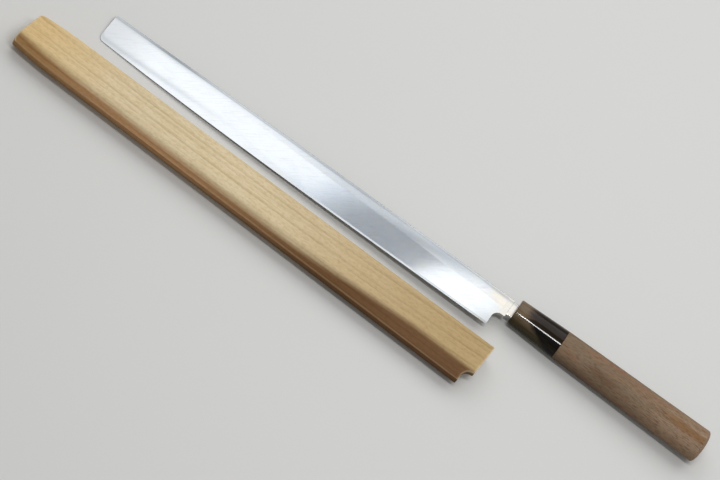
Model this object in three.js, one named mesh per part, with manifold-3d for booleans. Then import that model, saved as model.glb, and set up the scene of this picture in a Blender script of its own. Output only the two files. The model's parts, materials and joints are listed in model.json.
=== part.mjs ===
// Takohiki: a long slicing knife with a square tip, and the wooden scabbard (saya) drawn off it.
// Millimetres. +X runs from the tip to the butt, +Y from the edge to the spine, +Z up.
// The knife lies on its bevelled face, so the hollow-ground face looks up, and the scabbard
// lies beside the edge. The origin is under the middle of the pair, on the surface they lie on.

import * as THREE from "three";
import { mergeVertices } from "three/addons/utils/BufferGeometryUtils.js";
import Module from "manifold-3d";

// Blade: the spine curves down a little to the tip, the edge has a shallow belly, one face is hollow
const EDGE_LENGTH = 300;
const HEEL_HEIGHT = 26.3;
const TIP_HEIGHT = 21.5;
const EDGE_BELLY = 1.9;
const SPINE_DROP = 2.9;
const TIP_CORNER_LENGTH = 3.2;
const TIP_CORNER_HEIGHT = 5.2;
const HEEL_THICKNESS = 3.4;
const TIP_THICKNESS = 1.7;
const EDGE_THICKNESS = 0.25;
const SPINE_CHAMFER = 0.4;
const FLAT_WIDTH_AT_HEEL = 9.5;
const FLAT_WIDTH_AT_TIP = 7.1;
const SPINE_BAND_AT_HEEL = 9.2;
const SPINE_BAND_AT_TIP = 3.4;
const EDGE_BAND_AT_HEEL = 1.1;
const EDGE_BAND_AT_TIP = 4.4;
const HOLLOW_DEPTH = 0.35;
const HOLLOW_FADE = 8;
const STEEL_AT_HEEL = 1.25;
const STEEL_AT_TIP = 0.75;
const STEEL_TAIL = 3;

// Neck and tang: the neck steps down to the tang on both sides
const NECK_LENGTH = 7;
const NECK_HEIGHT = 13.8;
const HEEL_COVE_RADIUS = 5;
const SPINE_SHOULDER = 0.8;
const EDGE_SHOULDER = 2.4;
const SHOULDER_GAP = 3.7;
const TANG_LENGTH = 98;
const TANG_THICKNESS = 3;
const TANG_END_HEIGHT = 5;
const TANG_END_THICKNESS = 2.2;

// Grip: an oval swelling from horn ferrule to domed butt, its axis off the tang's towards the spine
const FERRULE_LENGTH = 35;
const GRIP_LENGTH = 145.6;
const GRIP_RISE = 0.7;
const FRONT_HEIGHT = 18.5;
const FRONT_WIDTH = 15.2;
const JOINT_HEIGHT = 21;
const JOINT_WIDTH = 17.2;
const BUTT_HEIGHT = 23.6;
const BUTT_WIDTH = 19.3;
const FERRULE_ROUND = 0.9;
const BUTT_DOME = 3.2;
const DOME_SQUARENESS = 2.4;
const TENON_LENGTH = 16;
const FERRULE_WALL = 1.3;
const BEDDING_THICKNESS = 0.6;
const BEDDING_FLOOR = 1.5;

// Scabbard: two face boards glued to a forked spacer that leaves the slot, planed to facets on the edge side
const MOUTH_WALL = 3.1;
const END_WALL = 3.55;
const FACE_WALL = 5.45;
const SPACER_THICKNESS = 4.6;
const SLOT_CLEARANCE = 0.7;
const TIP_CLEARANCE = 6;
const END_BLOCK = 33.6;
const FACET_RUN = 7.6;
const FACET_DROP = 5.7;
const FACET_ROUND = 7;
const FLANK_ROUND = 1;
const SPINE_ROUND = 3;
const MOUTH_SLANT = 2.25;
const NOTCH_DEPTH = 7.9;
const NOTCH_WIDTH = 8.6;
const LOWER_NOTCH_WIDTH = 17;
const NOTCH_COVE = 6;
const END_SLANT = 2.9;
const BACK_CORNER_LENGTH = 4.3;
const BACK_CORNER_HEIGHT = 2.4;
const EDGE_CORNER_RADIUS = 1;
const END_SWEEP = 35;
const END_INSET = 2;

// Fits and lie
const WELD_GAP = 0.04;
const GLUE_GAP = 0.04;
const FIT_GAP = 0.1;
const TANG_CLEARANCE = 0.3;
const SEAT_GAP = 0.5;
const MOUTH_LEAD = 2.1;
const LYING_GAP = 14.8;

// Facets, cutter overshoot and the search for the knife's dip
const BLADE_STATIONS = 24;
const HOLLOW_STEPS = 8;
const CORNER_STEPS = 6;
const OVAL_SIDES = 56;
const DOME_STEPS = 8;
const DOME_REACH = 0.96;
const SCABBARD_STATIONS = 14;
const OVERSHOOT = 1;
const STEEPEST_DIP = 0.4;
const DIP_STEPS = 40;

const wasm = await Module();
wasm.setup();

// Shared helpers
const RIGHT_ANGLE = Math.PI / 2;
const mix = THREE.MathUtils.lerp;
const clamp = THREE.MathUtils.clamp;
const spread = (count, at) => Array.from({ length: count + 1 }, (_, i) => at(i / count));
const ringAt = (x, outline) => outline.map(([y, z]) => new THREE.Vector3(x, y, z));
const rectangle = (y0, y1, z0, z1) => [[y1, z0], [y1, z1], [y0, z1], [y0, z0]];

// A closed solid through matching convex-ended rings, anticlockwise seen from +X, in order of x
function loft(rings) {
  const count = rings[0].length;
  const points = rings.flat();
  const triangles = [];
  for (let i = 0; i < count; i += 1) {
    const next = (i + 1) % count;
    const last = (rings.length - 1) * count;
    for (let row = 0; row < last; row += count) {
      triangles.push(row + i, row + next, row + count + next);
      triangles.push(row + i, row + count + next, row + count + i);
    }
    triangles.push(points.length, next, i);
    triangles.push(points.length + 1, last + i, last + next);
  }
  const middleOf = (ring) => ring.reduce((sum, p) => sum.add(p), new THREE.Vector3()).divideScalar(count);
  const geometry = new THREE.BufferGeometry();
  geometry.setFromPoints([...points, middleOf(rings[0]), middleOf(rings.at(-1))]);
  geometry.setIndex(triangles);
  return solidOf(geometry);
}

function solidOf(geometry) {
  const bare = geometry.clone();
  bare.deleteAttribute("normal");
  bare.deleteAttribute("uv");
  const merged = mergeVertices(bare, 1e-5);
  return new wasm.Manifold(new wasm.Mesh({
    numProp: 3,
    vertProperties: merged.getAttribute("position").array,
    triVerts: new Uint32Array(merged.index.array),
  }));
}

function geometryOf(solid) {
  const { vertProperties, triVerts } = solid.getMesh();
  const geometry = new THREE.BufferGeometry();
  geometry.setAttribute("position", new THREE.BufferAttribute(new Float32Array(vertProperties), 3));
  geometry.setIndex(new THREE.BufferAttribute(new Uint32Array(triVerts), 1));
  geometry.computeVertexNormals();
  return geometry;
}

// A plan outline carried straight up from one height to another
function prism(shape, bottom, top) {
  const geometry = new THREE.ExtrudeGeometry(shape, {
    depth: top - bottom,
    bevelEnabled: false,
    curveSegments: CORNER_STEPS,
  });
  return solidOf(geometry.translate(0, 0, bottom));
}

// A polygon [y, z, radius] with each corner turned into an arc
function roundedOutline(corners) {
  return corners.flatMap(([y, z, radius], i) => {
    const corner = new THREE.Vector2(y, z);
    const [before, after] = [corners.at(i - 1), corners[(i + 1) % corners.length]].map(
      (other) => new THREE.Vector2(other[0], other[1]).sub(corner).normalize(),
    );
    const half = Math.acos(clamp(before.dot(after), -1, 1)) / 2;
    const start = corner.clone().addScaledVector(before, radius / Math.tan(half));
    const middle = before.clone().add(after).normalize();
    const centre = corner.clone().addScaledVector(middle, radius / Math.sin(half));
    const sweep = Math.PI - 2 * half;
    return spread(CORNER_STEPS, (t) => {
      const point = start.clone().rotateAround(centre, sweep * t);
      return [point.x, point.y];
    });
  });
}

// Places along the knife, with x = 0 at the front of the ferrule and z = 0 in the tang's middle
const shoulderX = -SHOULDER_GAP;
const heelX = shoulderX - NECK_LENGTH;
const tipX = heelX - EDGE_LENGTH;
const tangHeight = NECK_HEIGHT - SPINE_SHOULDER - EDGE_SHOULDER;
const spineY = tangHeight / 2 + SPINE_SHOULDER;
const neckY = spineY - NECK_HEIGHT;
const hollowFaceZ = HEEL_THICKNESS / 2;

const alongBlade = (x) => (heelX - x) / EDGE_LENGTH;
const spineAt = (x) => spineY - SPINE_DROP * Math.max(alongBlade(x), 0) ** 2;
const thicknessAt = (x) => mix(HEEL_THICKNESS, TIP_THICKNESS, alongBlade(x));
const flatWidthAt = (x) => mix(FLAT_WIDTH_AT_HEEL, FLAT_WIDTH_AT_TIP, alongBlade(x));
const steelAt = (x) => mix(STEEL_AT_HEEL, STEEL_AT_TIP, alongBlade(x));

// Height from the spine down to the edge: it grows a little past the heel and falls off to the tip
function heightAt(x) {
  const u = clamp(alongBlade(x), 0, 1);
  return HEEL_HEIGHT + EDGE_BELLY * u - (HEEL_HEIGHT + EDGE_BELLY - TIP_HEIGHT) * u ** 3;
}

// How far the rounded corner of the tip lifts the edge
function cornerLiftAt(x) {
  const into = clamp((tipX - x) / TIP_CORNER_LENGTH + 1, 0, 1);
  return TIP_CORNER_HEIGHT * (1 - Math.sqrt(1 - into ** 2));
}

// The hollow fades out towards the tip and the heel
function hollowDepthAt(x) {
  const fromTip = THREE.MathUtils.smoothstep(x - tipX - EDGE_BAND_AT_TIP, 0, HOLLOW_FADE);
  const fromHeel = THREE.MathUtils.smoothstep(heelX - x, 0, HOLLOW_FADE);
  return HOLLOW_DEPTH * Math.min(fromTip, fromHeel);
}

// One slice of the blade: spine, hollow face, edge, bevel and flat
function bladeSection(x) {
  const top = hollowFaceZ;
  const spine = spineAt(x);
  const bottom = hollowFaceZ - thicknessAt(x);
  const edgeY = spine - heightAt(x) + cornerLiftAt(x);
  const hollowStart = spine - mix(SPINE_BAND_AT_HEEL, SPINE_BAND_AT_TIP, alongBlade(x));
  const hollowEnd = edgeY + mix(EDGE_BAND_AT_HEEL, EDGE_BAND_AT_TIP, alongBlade(x));
  const depth = hollowDepthAt(x);
  const hollow = spread(HOLLOW_STEPS, (t) => [
    mix(hollowStart, hollowEnd, t),
    top - depth * 4 * t * (1 - t),
  ]);
  return [
    [spine, bottom + SPINE_CHAMFER],
    [spine, top - SPINE_CHAMFER],
    [spine - SPINE_CHAMFER, top],
    ...hollow,
    [edgeY, top],
    [edgeY, top - EDGE_THICKNESS],
    [spine - flatWidthAt(x), bottom],
    [spine - SPINE_CHAMFER, bottom],
  ];
}

// The tang as a tapering bar, grown on every side
function tangBar(from, to, grow) {
  const ring = (x) => {
    const t = clamp((x - shoulderX) / (TANG_LENGTH - shoulderX), 0, 1);
    const halfHeight = mix(tangHeight, TANG_END_HEIGHT, t) / 2 + grow;
    const halfThickness = mix(TANG_THICKNESS, TANG_END_THICKNESS, t) / 2 + grow;
    return ringAt(x, rectangle(-halfHeight, halfHeight, -halfThickness, halfThickness));
  };
  const stations = [from, to];
  if (from < TANG_LENGTH && to > TANG_LENGTH) stations.splice(1, 0, TANG_LENGTH);
  return loft(stations.map(ring));
}

// Forged blank: blade, neck with its coved heel, and tang
function bladeBlank() {
  const cornerStart = tipX + TIP_CORNER_LENGTH;
  const fadeStart = cornerStart + HOLLOW_FADE;
  const fadeEnd = heelX - HOLLOW_FADE;
  const cornerAt = (t) => cornerStart - TIP_CORNER_LENGTH * Math.cos(t * RIGHT_ANGLE);
  const blade = loft([
    ...spread(CORNER_STEPS, cornerAt).slice(0, -1),
    ...spread(CORNER_STEPS, (t) => mix(cornerStart, fadeStart, t)).slice(0, -1),
    ...spread(BLADE_STATIONS, (t) => mix(fadeStart, fadeEnd, t)).slice(0, -1),
    ...spread(CORNER_STEPS, (t) => mix(fadeEnd, heelX, t)),
    shoulderX,
  ].map((x) => ringAt(x, bladeSection(x))));

  const below = neckY - HEEL_HEIGHT;
  const heelVoid = new THREE.Shape();
  heelVoid.moveTo(heelX, below);
  heelVoid.lineTo(shoulderX + OVERSHOOT, below);
  heelVoid.lineTo(shoulderX + OVERSHOOT, neckY);
  heelVoid.absarc(
    heelX + HEEL_COVE_RADIUS, neckY - HEEL_COVE_RADIUS, HEEL_COVE_RADIUS, RIGHT_ANGLE, 2 * RIGHT_ANGLE,
  );
  const heelCut = prism(heelVoid, -HEEL_THICKNESS, HEEL_THICKNESS);
  return blade.subtract(heelCut).add(tangBar(shoulderX - OVERSHOOT, TANG_LENGTH, 0));
}

// The hard steel is the layer next to the hollow face, from the tip to just past the heel
function steelLayer(grow) {
  const ring = (x) => ringAt(x, rectangle(
    neckY - HEEL_HEIGHT,
    spineY + OVERSHOOT,
    hollowFaceZ - steelAt(x) - grow,
    hollowFaceZ + OVERSHOOT,
  ));
  return loft([ring(tipX - OVERSHOOT), ring(heelX + STEEL_TAIL + grow)]);
}

// Half height and half width of the oval grip
function ovalAt(x) {
  const onFerrule = x < FERRULE_LENGTH;
  const t = onFerrule ? x / FERRULE_LENGTH : (x - FERRULE_LENGTH) / (GRIP_LENGTH - FERRULE_LENGTH);
  const from = onFerrule ? [FRONT_HEIGHT, FRONT_WIDTH] : [JOINT_HEIGHT, JOINT_WIDTH];
  const to = onFerrule ? [JOINT_HEIGHT, JOINT_WIDTH] : [BUTT_HEIGHT, BUTT_WIDTH];
  return [mix(from[0], to[0], t) / 2, mix(from[1], to[1], t) / 2];
}

function ovalRing(x, halfHeight, halfWidth) {
  const oval = new THREE.EllipseCurve(GRIP_RISE, 0, halfHeight, halfWidth);
  return ringAt(x, oval.getPoints(OVAL_SIDES).slice(0, -1).map((p) => [p.x, p.y]));
}

const tenonFront = FERRULE_LENGTH - TENON_LENGTH;
const tenonRadius = ovalAt(tenonFront)[1] - FERRULE_WALL;
const socketEnd = TANG_LENGTH + BEDDING_FLOOR;

// A round bar along the grip's axis
function bar(radius, from, to) {
  const geometry = new THREE.CylinderGeometry(radius, radius, to - from, OVAL_SIDES);
  return solidOf(geometry.rotateZ(RIGHT_ANGLE).translate((from + to) / 2, GRIP_RISE, 0));
}

// Horn ferrule: rounded front rim, slot for the tang in front and bore for the tenon behind
function ferruleSolid() {
  const rim = spread(CORNER_STEPS, (t) => {
    const angle = t * RIGHT_ANGLE;
    const inset = FERRULE_ROUND * (1 - Math.sin(angle));
    const x = FERRULE_ROUND * (1 - Math.cos(angle));
    const [halfHeight, halfWidth] = ovalAt(x);
    return ovalRing(x, halfHeight - inset, halfWidth - inset);
  });
  const body = loft([...rim, ovalRing(FERRULE_LENGTH, ...ovalAt(FERRULE_LENGTH))]);
  const slot = tangBar(-OVERSHOOT, FERRULE_LENGTH, TANG_CLEARANCE);
  const bore = bar(tenonRadius + FIT_GAP, tenonFront - FIT_GAP, FERRULE_LENGTH + OVERSHOOT);
  return body.subtract(slot).subtract(bore);
}

// Wooden grip: tapered oval, flattened dome at the butt, turned tenon, burnt-in socket
function gripSolid() {
  const domeStart = GRIP_LENGTH - BUTT_DOME;
  const dome = spread(DOME_STEPS, (t) => {
    const share = Math.cos(t * DOME_REACH * RIGHT_ANGLE);
    const rise = (1 - share ** DOME_SQUARENESS) ** (1 / DOME_SQUARENESS);
    const [halfHeight, halfWidth] = ovalAt(domeStart);
    return ovalRing(domeStart + BUTT_DOME * rise, halfHeight * share, halfWidth * share);
  });
  const front = FERRULE_LENGTH + FIT_GAP;
  const body = loft([ovalRing(front, ...ovalAt(front)), ...dome]);
  const tenon = bar(tenonRadius, tenonFront, front + OVERSHOOT);
  return body.add(tenon).subtract(tangBar(tenonFront - OVERSHOOT, socketEnd, BEDDING_THICKNESS));
}

// Resin that fills the socket round the tang
function beddingSolid() {
  const filling = tangBar(tenonFront, socketEnd - FIT_GAP, BEDDING_THICKNESS - FIT_GAP);
  return filling.subtract(tangBar(tenonFront - OVERSHOOT, TANG_LENGTH + FIT_GAP, FIT_GAP));
}

// Scabbard, with x = 0 at its mouth, z = 0 under it and the blade's middle along y = 0
const lowerSeamZ = FACE_WALL;
const upperSeamZ = FACE_WALL + SPACER_THICKNESS;
const scabbardThickness = upperSeamZ + FACE_WALL;
const slotEndX = tipX + SEAT_GAP - TIP_CLEARANCE;
const endX = slotEndX - END_BLOCK;

// Half height of the slot: the tallest part of the blade that passes this point on its way in
function slotHalfAt(x) {
  const tallest = Math.max(...spread(BLADE_STATIONS, (t) => heightAt(mix(x - SEAT_GAP, tipX, t))));
  return tallest / 2 + SLOT_CLEARANCE;
}

// Half height of the scabbard: a straight taper that curves in at the closed end
function scabbardHalfAt(x) {
  const taper = mix(slotHalfAt(0) + MOUTH_WALL, slotHalfAt(slotEndX) + END_WALL, x / slotEndX);
  const sweep = clamp((endX + END_SWEEP - x) / END_SWEEP, 0, 1);
  return taper - END_INSET * sweep ** 2;
}

function scabbardSection(x) {
  const half = scabbardHalfAt(x);
  const top = scabbardThickness;
  return roundedOutline([
    [half, 0, SPINE_ROUND],
    [half, top, SPINE_ROUND],
    [FACET_RUN - half, top, FACET_ROUND],
    [-half, top - FACET_DROP, FLANK_ROUND],
    [-half, FACET_DROP, FLANK_ROUND],
    [FACET_RUN - half, 0, FACET_ROUND],
  ]);
}

// Plan outline: slanted mouth with a coved notch on the edge side, slanted end with round corners
function scabbardPlan(notchWidth) {
  const outside = scabbardHalfAt(0) + OVERSHOOT;
  const mouthHalf = scabbardHalfAt(0);
  const endHalf = scabbardHalfAt(endX);
  const notchX = -NOTCH_DEPTH;
  const notchY = notchWidth - mouthHalf;
  const mouthX = (y) => -MOUTH_SLANT * (mouthHalf - y) / (2 * mouthHalf);
  const closedX = (y) => endX + END_SLANT * (y + endHalf) / (2 * endHalf);
  const backCornerX = closedX(endHalf) + BACK_CORNER_LENGTH;
  const backCornerY = endHalf - BACK_CORNER_HEIGHT;
  const edgeCornerX = closedX(-endHalf) + EDGE_CORNER_RADIUS;
  const edgeCornerY = EDGE_CORNER_RADIUS - endHalf;
  const plan = new THREE.Shape();
  plan.moveTo(mouthX(outside), outside);
  plan.lineTo(backCornerX, outside);
  plan.lineTo(backCornerX, endHalf);
  plan.quadraticCurveTo(closedX(endHalf), endHalf, closedX(backCornerY), backCornerY);
  plan.lineTo(closedX(edgeCornerY), edgeCornerY);
  plan.quadraticCurveTo(closedX(-endHalf), -endHalf, edgeCornerX, -endHalf);
  plan.lineTo(edgeCornerX, -outside);
  plan.lineTo(notchX, -outside);
  plan.lineTo(notchX, notchY - NOTCH_COVE);
  plan.absarc(notchX + NOTCH_COVE, notchY - NOTCH_COVE, NOTCH_COVE, 2 * RIGHT_ANGLE, RIGHT_ANGLE, true);
  plan.lineTo(mouthX(notchY), notchY);
  return plan;
}

// One layer of the scabbard, between two heights; the notch is wider in the lower board
function scabbardLayer(bottom, top, notchWidth) {
  const sweepStart = endX + END_SWEEP;
  const outer = loft([
    ...spread(CORNER_STEPS, (t) => mix(endX, sweepStart, t)).slice(0, -1),
    ...spread(SCABBARD_STATIONS, (t) => mix(sweepStart, 0, t)),
  ].map((x) => ringAt(x, scabbardSection(x))));
  return outer.intersect(prism(scabbardPlan(notchWidth), bottom, top));
}

// Spacer: forked, with the slot for the blade between its prongs
function spacerSolid() {
  const stations = spread(SCABBARD_STATIONS, (t) => mix(slotEndX, OVERSHOOT, t));
  const slot = loft(stations.map((x) => ringAt(x, rectangle(
    -slotHalfAt(x), slotHalfAt(x), lowerSeamZ - OVERSHOOT, upperSeamZ + OVERSHOOT,
  ))));
  return scabbardLayer(lowerSeamZ + GLUE_GAP, upperSeamZ, NOTCH_WIDTH).subtract(slot);
}

function piece(name, solid, color, roughness, metalness) {
  const material = new THREE.MeshStandardMaterial({ color, roughness, metalness });
  const mesh = new THREE.Mesh(geometryOf(solid), material);
  mesh.name = name;
  return mesh;
}

// The pieces, each in its own place
const blank = bladeBlank();
const iron = piece("blade_jigane", blank.subtract(steelLayer(WELD_GAP)), 0xa9adb0, 0.42, 1);
const steel = piece("blade_hagane", blank.intersect(steelLayer(0)), 0xdfe3e4, 0.3, 1);
const ferrule = piece("ferrule", ferruleSolid(), 0x3d3226, 0.25, 0);
const grip = piece("handle", gripSolid(), 0x927c62, 0.7, 0);
const bedding = piece("tang_bedding", beddingSolid(), 0x4a3a22, 0.5, 0);
const upperLayer = scabbardLayer(upperSeamZ + GLUE_GAP, scabbardThickness + OVERSHOOT, NOTCH_WIDTH);
const lowerLayer = scabbardLayer(-OVERSHOOT, lowerSeamZ, LOWER_NOTCH_WIDTH);
const upperBoard = piece("saya_ura_board", upperLayer, 0xd3b685, 0.62, 0);
const spacer = piece("saya_spacer", spacerSolid(), 0xc9aa7a, 0.62, 0);
const lowerBoard = piece("saya_omote_board", lowerLayer, 0xcfb180, 0.62, 0);

// The knife rolls until the bevel at the tip lies flat, and dips until tip and ferrule both touch
const rolled = new THREE.Group();
rolled.rotation.x = Math.atan2(TIP_THICKNESS - EDGE_THICKNESS, TIP_HEIGHT - FLAT_WIDTH_AT_TIP);
rolled.add(iron, steel, ferrule, grip, bedding);
const knife = new THREE.Group();
knife.add(rolled);

function lowestOf(meshes) {
  knife.updateMatrixWorld(true);
  return Math.min(...meshes.map((mesh) => new THREE.Box3().setFromObject(mesh, true).min.z));
}

let shallow = 0;
let steep = STEEPEST_DIP;
for (let step = 0; step < DIP_STEPS; step += 1) {
  const dip = (shallow + steep) / 2;
  knife.rotation.y = -dip;
  const tipIsHigh = lowestOf([iron, steel]) > lowestOf([ferrule, grip]);
  shallow = tipIsHigh ? dip : shallow;
  steep = tipIsHigh ? steep : dip;
}
knife.position.z = -lowestOf([ferrule, grip, iron, steel]);
knife.updateMatrixWorld(true);

// The scabbard lies beside the edge, its mouth a little past the front of the ferrule
const scabbard = new THREE.Group();
scabbard.add(upperBoard, spacer, lowerBoard);
const edgeSide = new THREE.Box3().setFromObject(steel, true).min.y;
scabbard.position.set(MOUTH_LEAD, edgeSide - LYING_GAP - scabbardHalfAt(0), 0);

const pair = new THREE.Group();
pair.add(knife, scabbard);
const box = new THREE.Box3().setFromObject(pair, true);
const centre = box.getCenter(new THREE.Vector3());
pair.position.set(-centre.x, -centre.y, -box.min.z);

const takohiki = new THREE.Group();
takohiki.add(pair);
export default takohiki;
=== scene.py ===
# %% [markdown]
# # A takohiki and its saya
# A takohiki is a long slicing knife with a square tip. One face of the blade is ground hollow, the
# other carries the only bevel. The knife lies on its bevel beside the wooden scabbard (saya) that
# was drawn off it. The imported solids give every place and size; this lesson dresses them.

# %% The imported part
import json
import math

import bpy
import numpy as np
from mathutils import Matrix, Vector


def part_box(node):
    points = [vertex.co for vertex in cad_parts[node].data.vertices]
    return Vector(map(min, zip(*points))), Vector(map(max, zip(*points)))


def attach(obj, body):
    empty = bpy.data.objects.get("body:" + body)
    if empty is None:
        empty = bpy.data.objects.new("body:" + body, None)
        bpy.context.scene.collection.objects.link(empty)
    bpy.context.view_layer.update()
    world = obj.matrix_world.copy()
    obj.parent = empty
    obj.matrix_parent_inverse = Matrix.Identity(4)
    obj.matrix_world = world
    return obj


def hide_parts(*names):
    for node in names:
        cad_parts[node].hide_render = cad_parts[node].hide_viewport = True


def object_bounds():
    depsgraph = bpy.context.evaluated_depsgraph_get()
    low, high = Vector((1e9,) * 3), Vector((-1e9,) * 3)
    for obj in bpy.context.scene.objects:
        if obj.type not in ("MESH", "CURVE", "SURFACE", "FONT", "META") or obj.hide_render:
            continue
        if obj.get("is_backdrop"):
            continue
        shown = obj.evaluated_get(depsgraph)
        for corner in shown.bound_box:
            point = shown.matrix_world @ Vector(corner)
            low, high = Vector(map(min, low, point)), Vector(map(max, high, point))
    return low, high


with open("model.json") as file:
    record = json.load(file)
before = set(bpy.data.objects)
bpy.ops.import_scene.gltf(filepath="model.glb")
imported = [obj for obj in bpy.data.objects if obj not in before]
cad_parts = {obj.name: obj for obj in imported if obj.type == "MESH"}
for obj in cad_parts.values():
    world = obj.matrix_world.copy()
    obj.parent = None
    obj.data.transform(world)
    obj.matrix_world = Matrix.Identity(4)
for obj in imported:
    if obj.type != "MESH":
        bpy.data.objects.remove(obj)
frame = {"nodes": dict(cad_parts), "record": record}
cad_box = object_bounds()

print("nodes:", ", ".join(sorted(frame["nodes"])))

# %% [markdown]
# ## Camera
# The view is a long lens from the front, 53 degrees above the table, turned about its own axis so
# that the knife runs across the picture's diagonal. A camera can be aimed with a constraint, but
# writing its three axes into the matrix keeps the turn exact and leaves nothing live behind.

# %% Camera
AIM = Vector((-0.003469, 0.007291, 0.0))
AZIMUTH = math.radians(-0.763)
ELEVATION = math.radians(53.0)
TURN = math.radians(37.512)
DISTANCE = 1.995285
LENS, SENSOR = 160.0, 36.0

back = Vector((
    math.sin(AZIMUTH) * math.cos(ELEVATION),
    -math.cos(AZIMUTH) * math.cos(ELEVATION),
    math.sin(ELEVATION),
))
level = Vector((math.cos(AZIMUTH), math.sin(AZIMUTH), 0.0))
upright = back.cross(level)
camera_right = math.cos(TURN) * level + math.sin(TURN) * upright
camera_up = math.cos(TURN) * upright - math.sin(TURN) * level
camera_axes = Matrix((camera_right, camera_up, back)).transposed().to_4x4()

camera = bpy.data.objects.new("camera", bpy.data.cameras.new("camera"))
camera.data.lens = LENS
camera.data.sensor_width = SENSOR
camera.matrix_world = Matrix.Translation(AIM + DISTANCE * back) @ camera_axes
bpy.context.scene.collection.objects.link(camera)
bpy.context.scene.camera = camera
print("camera at", [round(v, 3) for v in camera.matrix_world.translation])

# %% [markdown]
# ## Finishes
# Every finish here is a small network of nodes that reads the object's own coordinates, so wood
# grain and grinding marks stay put from any side. Wiring nodes by hand is long-winded, so a helper
# class adds a node per call and hands back its output; a finish then reads like a recipe. Its first
# half holds places and patterns, its second half numbers, colours and relief.

# %% Places and patterns
SEED_STEP = (1.0, 1.7, -0.6)


class Patterns:
    """A procedural material. Each method adds a node or two and returns the socket with the result."""

    def __init__(self, name):
        self.material = bpy.data.materials.new(name)
        self.material.use_nodes = True
        self.tree = self.material.node_tree
        self.shader = self.tree.nodes["Principled BSDF"]
        self.places = self.node("ShaderNodeTexCoord").outputs["Object"]

    def node(self, kind, **settings):
        made = self.tree.nodes.new(kind)
        for key, value in settings.items():
            setattr(made, key, value)
        return made

    def feed(self, socket, value):
        """Links another socket, or writes a plain number or colour."""
        if isinstance(value, bpy.types.NodeSocket):
            self.tree.links.new(value, socket)
        elif socket.type == "RGBA":
            socket.default_value = (*value, 1.0)
        else:
            socket.default_value = value

    def set(self, **sockets):
        """Feeds the shader's own sockets, with _ for each space in their names."""
        for key, value in sockets.items():
            self.feed(self.shader.inputs[key.replace("_", " ")], value)

    def turned(self, angles):
        """The coordinates turned about the row's axes, in degrees."""
        mapping = self.node("ShaderNodeMapping")
        self.feed(mapping.inputs["Vector"], self.places)
        mapping.inputs["Rotation"].default_value = [math.radians(a) for a in angles]
        return mapping.outputs["Vector"]

    def noise(self, size, seed=0.0, detail=2.0, roughness=0.5, distortion=0.0, where=None):
        """Cloudy noise with blobs of about size = (x, y, z) metres; seed slides it to a fresh spot."""
        mapping = self.node("ShaderNodeMapping")
        self.feed(mapping.inputs["Vector"], where or self.places)
        mapping.inputs["Scale"].default_value = [1 / s for s in size]
        mapping.inputs["Location"].default_value = [step * seed for step in SEED_STEP]
        made = self.node("ShaderNodeTexNoise")
        self.feed(made.inputs["Vector"], mapping.outputs["Vector"])
        for key, value in (("Scale", 1.0), ("Detail", detail), ("Roughness", roughness),
                           ("Distortion", distortion)):
            made.inputs[key].default_value = value
        return made.outputs["Fac"]

    def axis(self, which):
        split = self.node("ShaderNodeSeparateXYZ")
        self.feed(split.inputs["Vector"], self.places)
        return split.outputs[which]

    def painted(self, name):
        """A value that the mesh carries at its points."""
        return self.node("ShaderNodeAttribute", attribute_name=name).outputs["Fac"]


print("patterns ready")

# %% [markdown]
# ## Numbers, colours and relief
# The second half of the helper works on what the patterns give. Colours are written as they are seen on
# a screen and turned into linear light, because shaders add and multiply light, not screen values. The
# smooth step does most of the work: it turns a noise or a distance into the share by which colours mix.


# %% Numbers, colours and relief
def seen(red, green, blue):
    """A colour as it is seen on a screen, 0 to 255, turned into the linear light that shaders use."""
    share = np.array([red, green, blue]) / 255
    linear = np.where(share <= 0.04045, share / 12.92, ((share + 0.055) / 1.055) ** 2.4)
    return tuple(float(v) for v in linear)


class Finish(Patterns):
    """The rest of the recipe: sums on patterns, colours mixed by them, and relief."""

    def math(self, operation, first, second=0.0, third=0.0):
        made = self.node("ShaderNodeMath", operation=operation)
        for socket, value in zip(made.inputs, (first, second, third)):
            self.feed(socket, value)
        return made.outputs["Value"]

    def times(self, first, second):
        return self.math("MULTIPLY", first, second)

    def scaled(self, value, gain, start):
        """value times gain, plus start."""
        return self.math("MULTIPLY_ADD", value, gain, start)

    def fade(self, value, start, end, low=0.0, high=1.0):
        """A smooth step: low before start, high after end."""
        made = self.node("ShaderNodeMapRange", interpolation_type="SMOOTHSTEP")
        for key, item in (("Value", value), ("From Min", start), ("From Max", end),
                          ("To Min", low), ("To Max", high)):
            self.feed(made.inputs[key], item)
        return made.outputs["Result"]

    def patch(self, value, start, full, leave, end):
        """1 between full and leave, fading to 0 at start and at end."""
        return self.times(self.fade(value, start, full), self.fade(value, leave, end, 1.0, 0.0))

    def mix(self, share, first, second, blend="MIX"):
        made = self.node("ShaderNodeMix", data_type="RGBA", blend_type=blend)
        self.feed(made.inputs[0], share)
        self.feed(made.inputs[6], first)
        self.feed(made.inputs[7], second)
        return made.outputs[2]

    def deepen(self, colour, share, depth):
        """The colour multiplied by depth where share is 1."""
        return self.mix(share, colour, depth, "MULTIPLY")

    def ramp(self, value, stops):
        """A colour scale through stops = [(place, colour), ...]."""
        made = self.node("ShaderNodeValToRGB")
        elements = made.color_ramp.elements
        while len(elements) < len(stops):
            elements.new(0.5)
        for element, (place, colour) in zip(elements, stops):
            element.position = place
            element.color = (*colour, 1.0)
        self.feed(made.inputs["Fac"], value)
        return made.outputs["Color"]

    def bump(self, height, depth, strength, under=None):
        """Relief from a height between 0 and 1 that stands for depth metres, on top of any under it."""
        made = self.node("ShaderNodeBump")
        made.inputs["Strength"].default_value = strength
        made.inputs["Distance"].default_value = depth
        self.feed(made.inputs["Height"], height)
        if under is not None:
            self.feed(made.inputs["Normal"], under)
        return made.outputs["Normal"]


print("finish helper ready")

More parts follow.
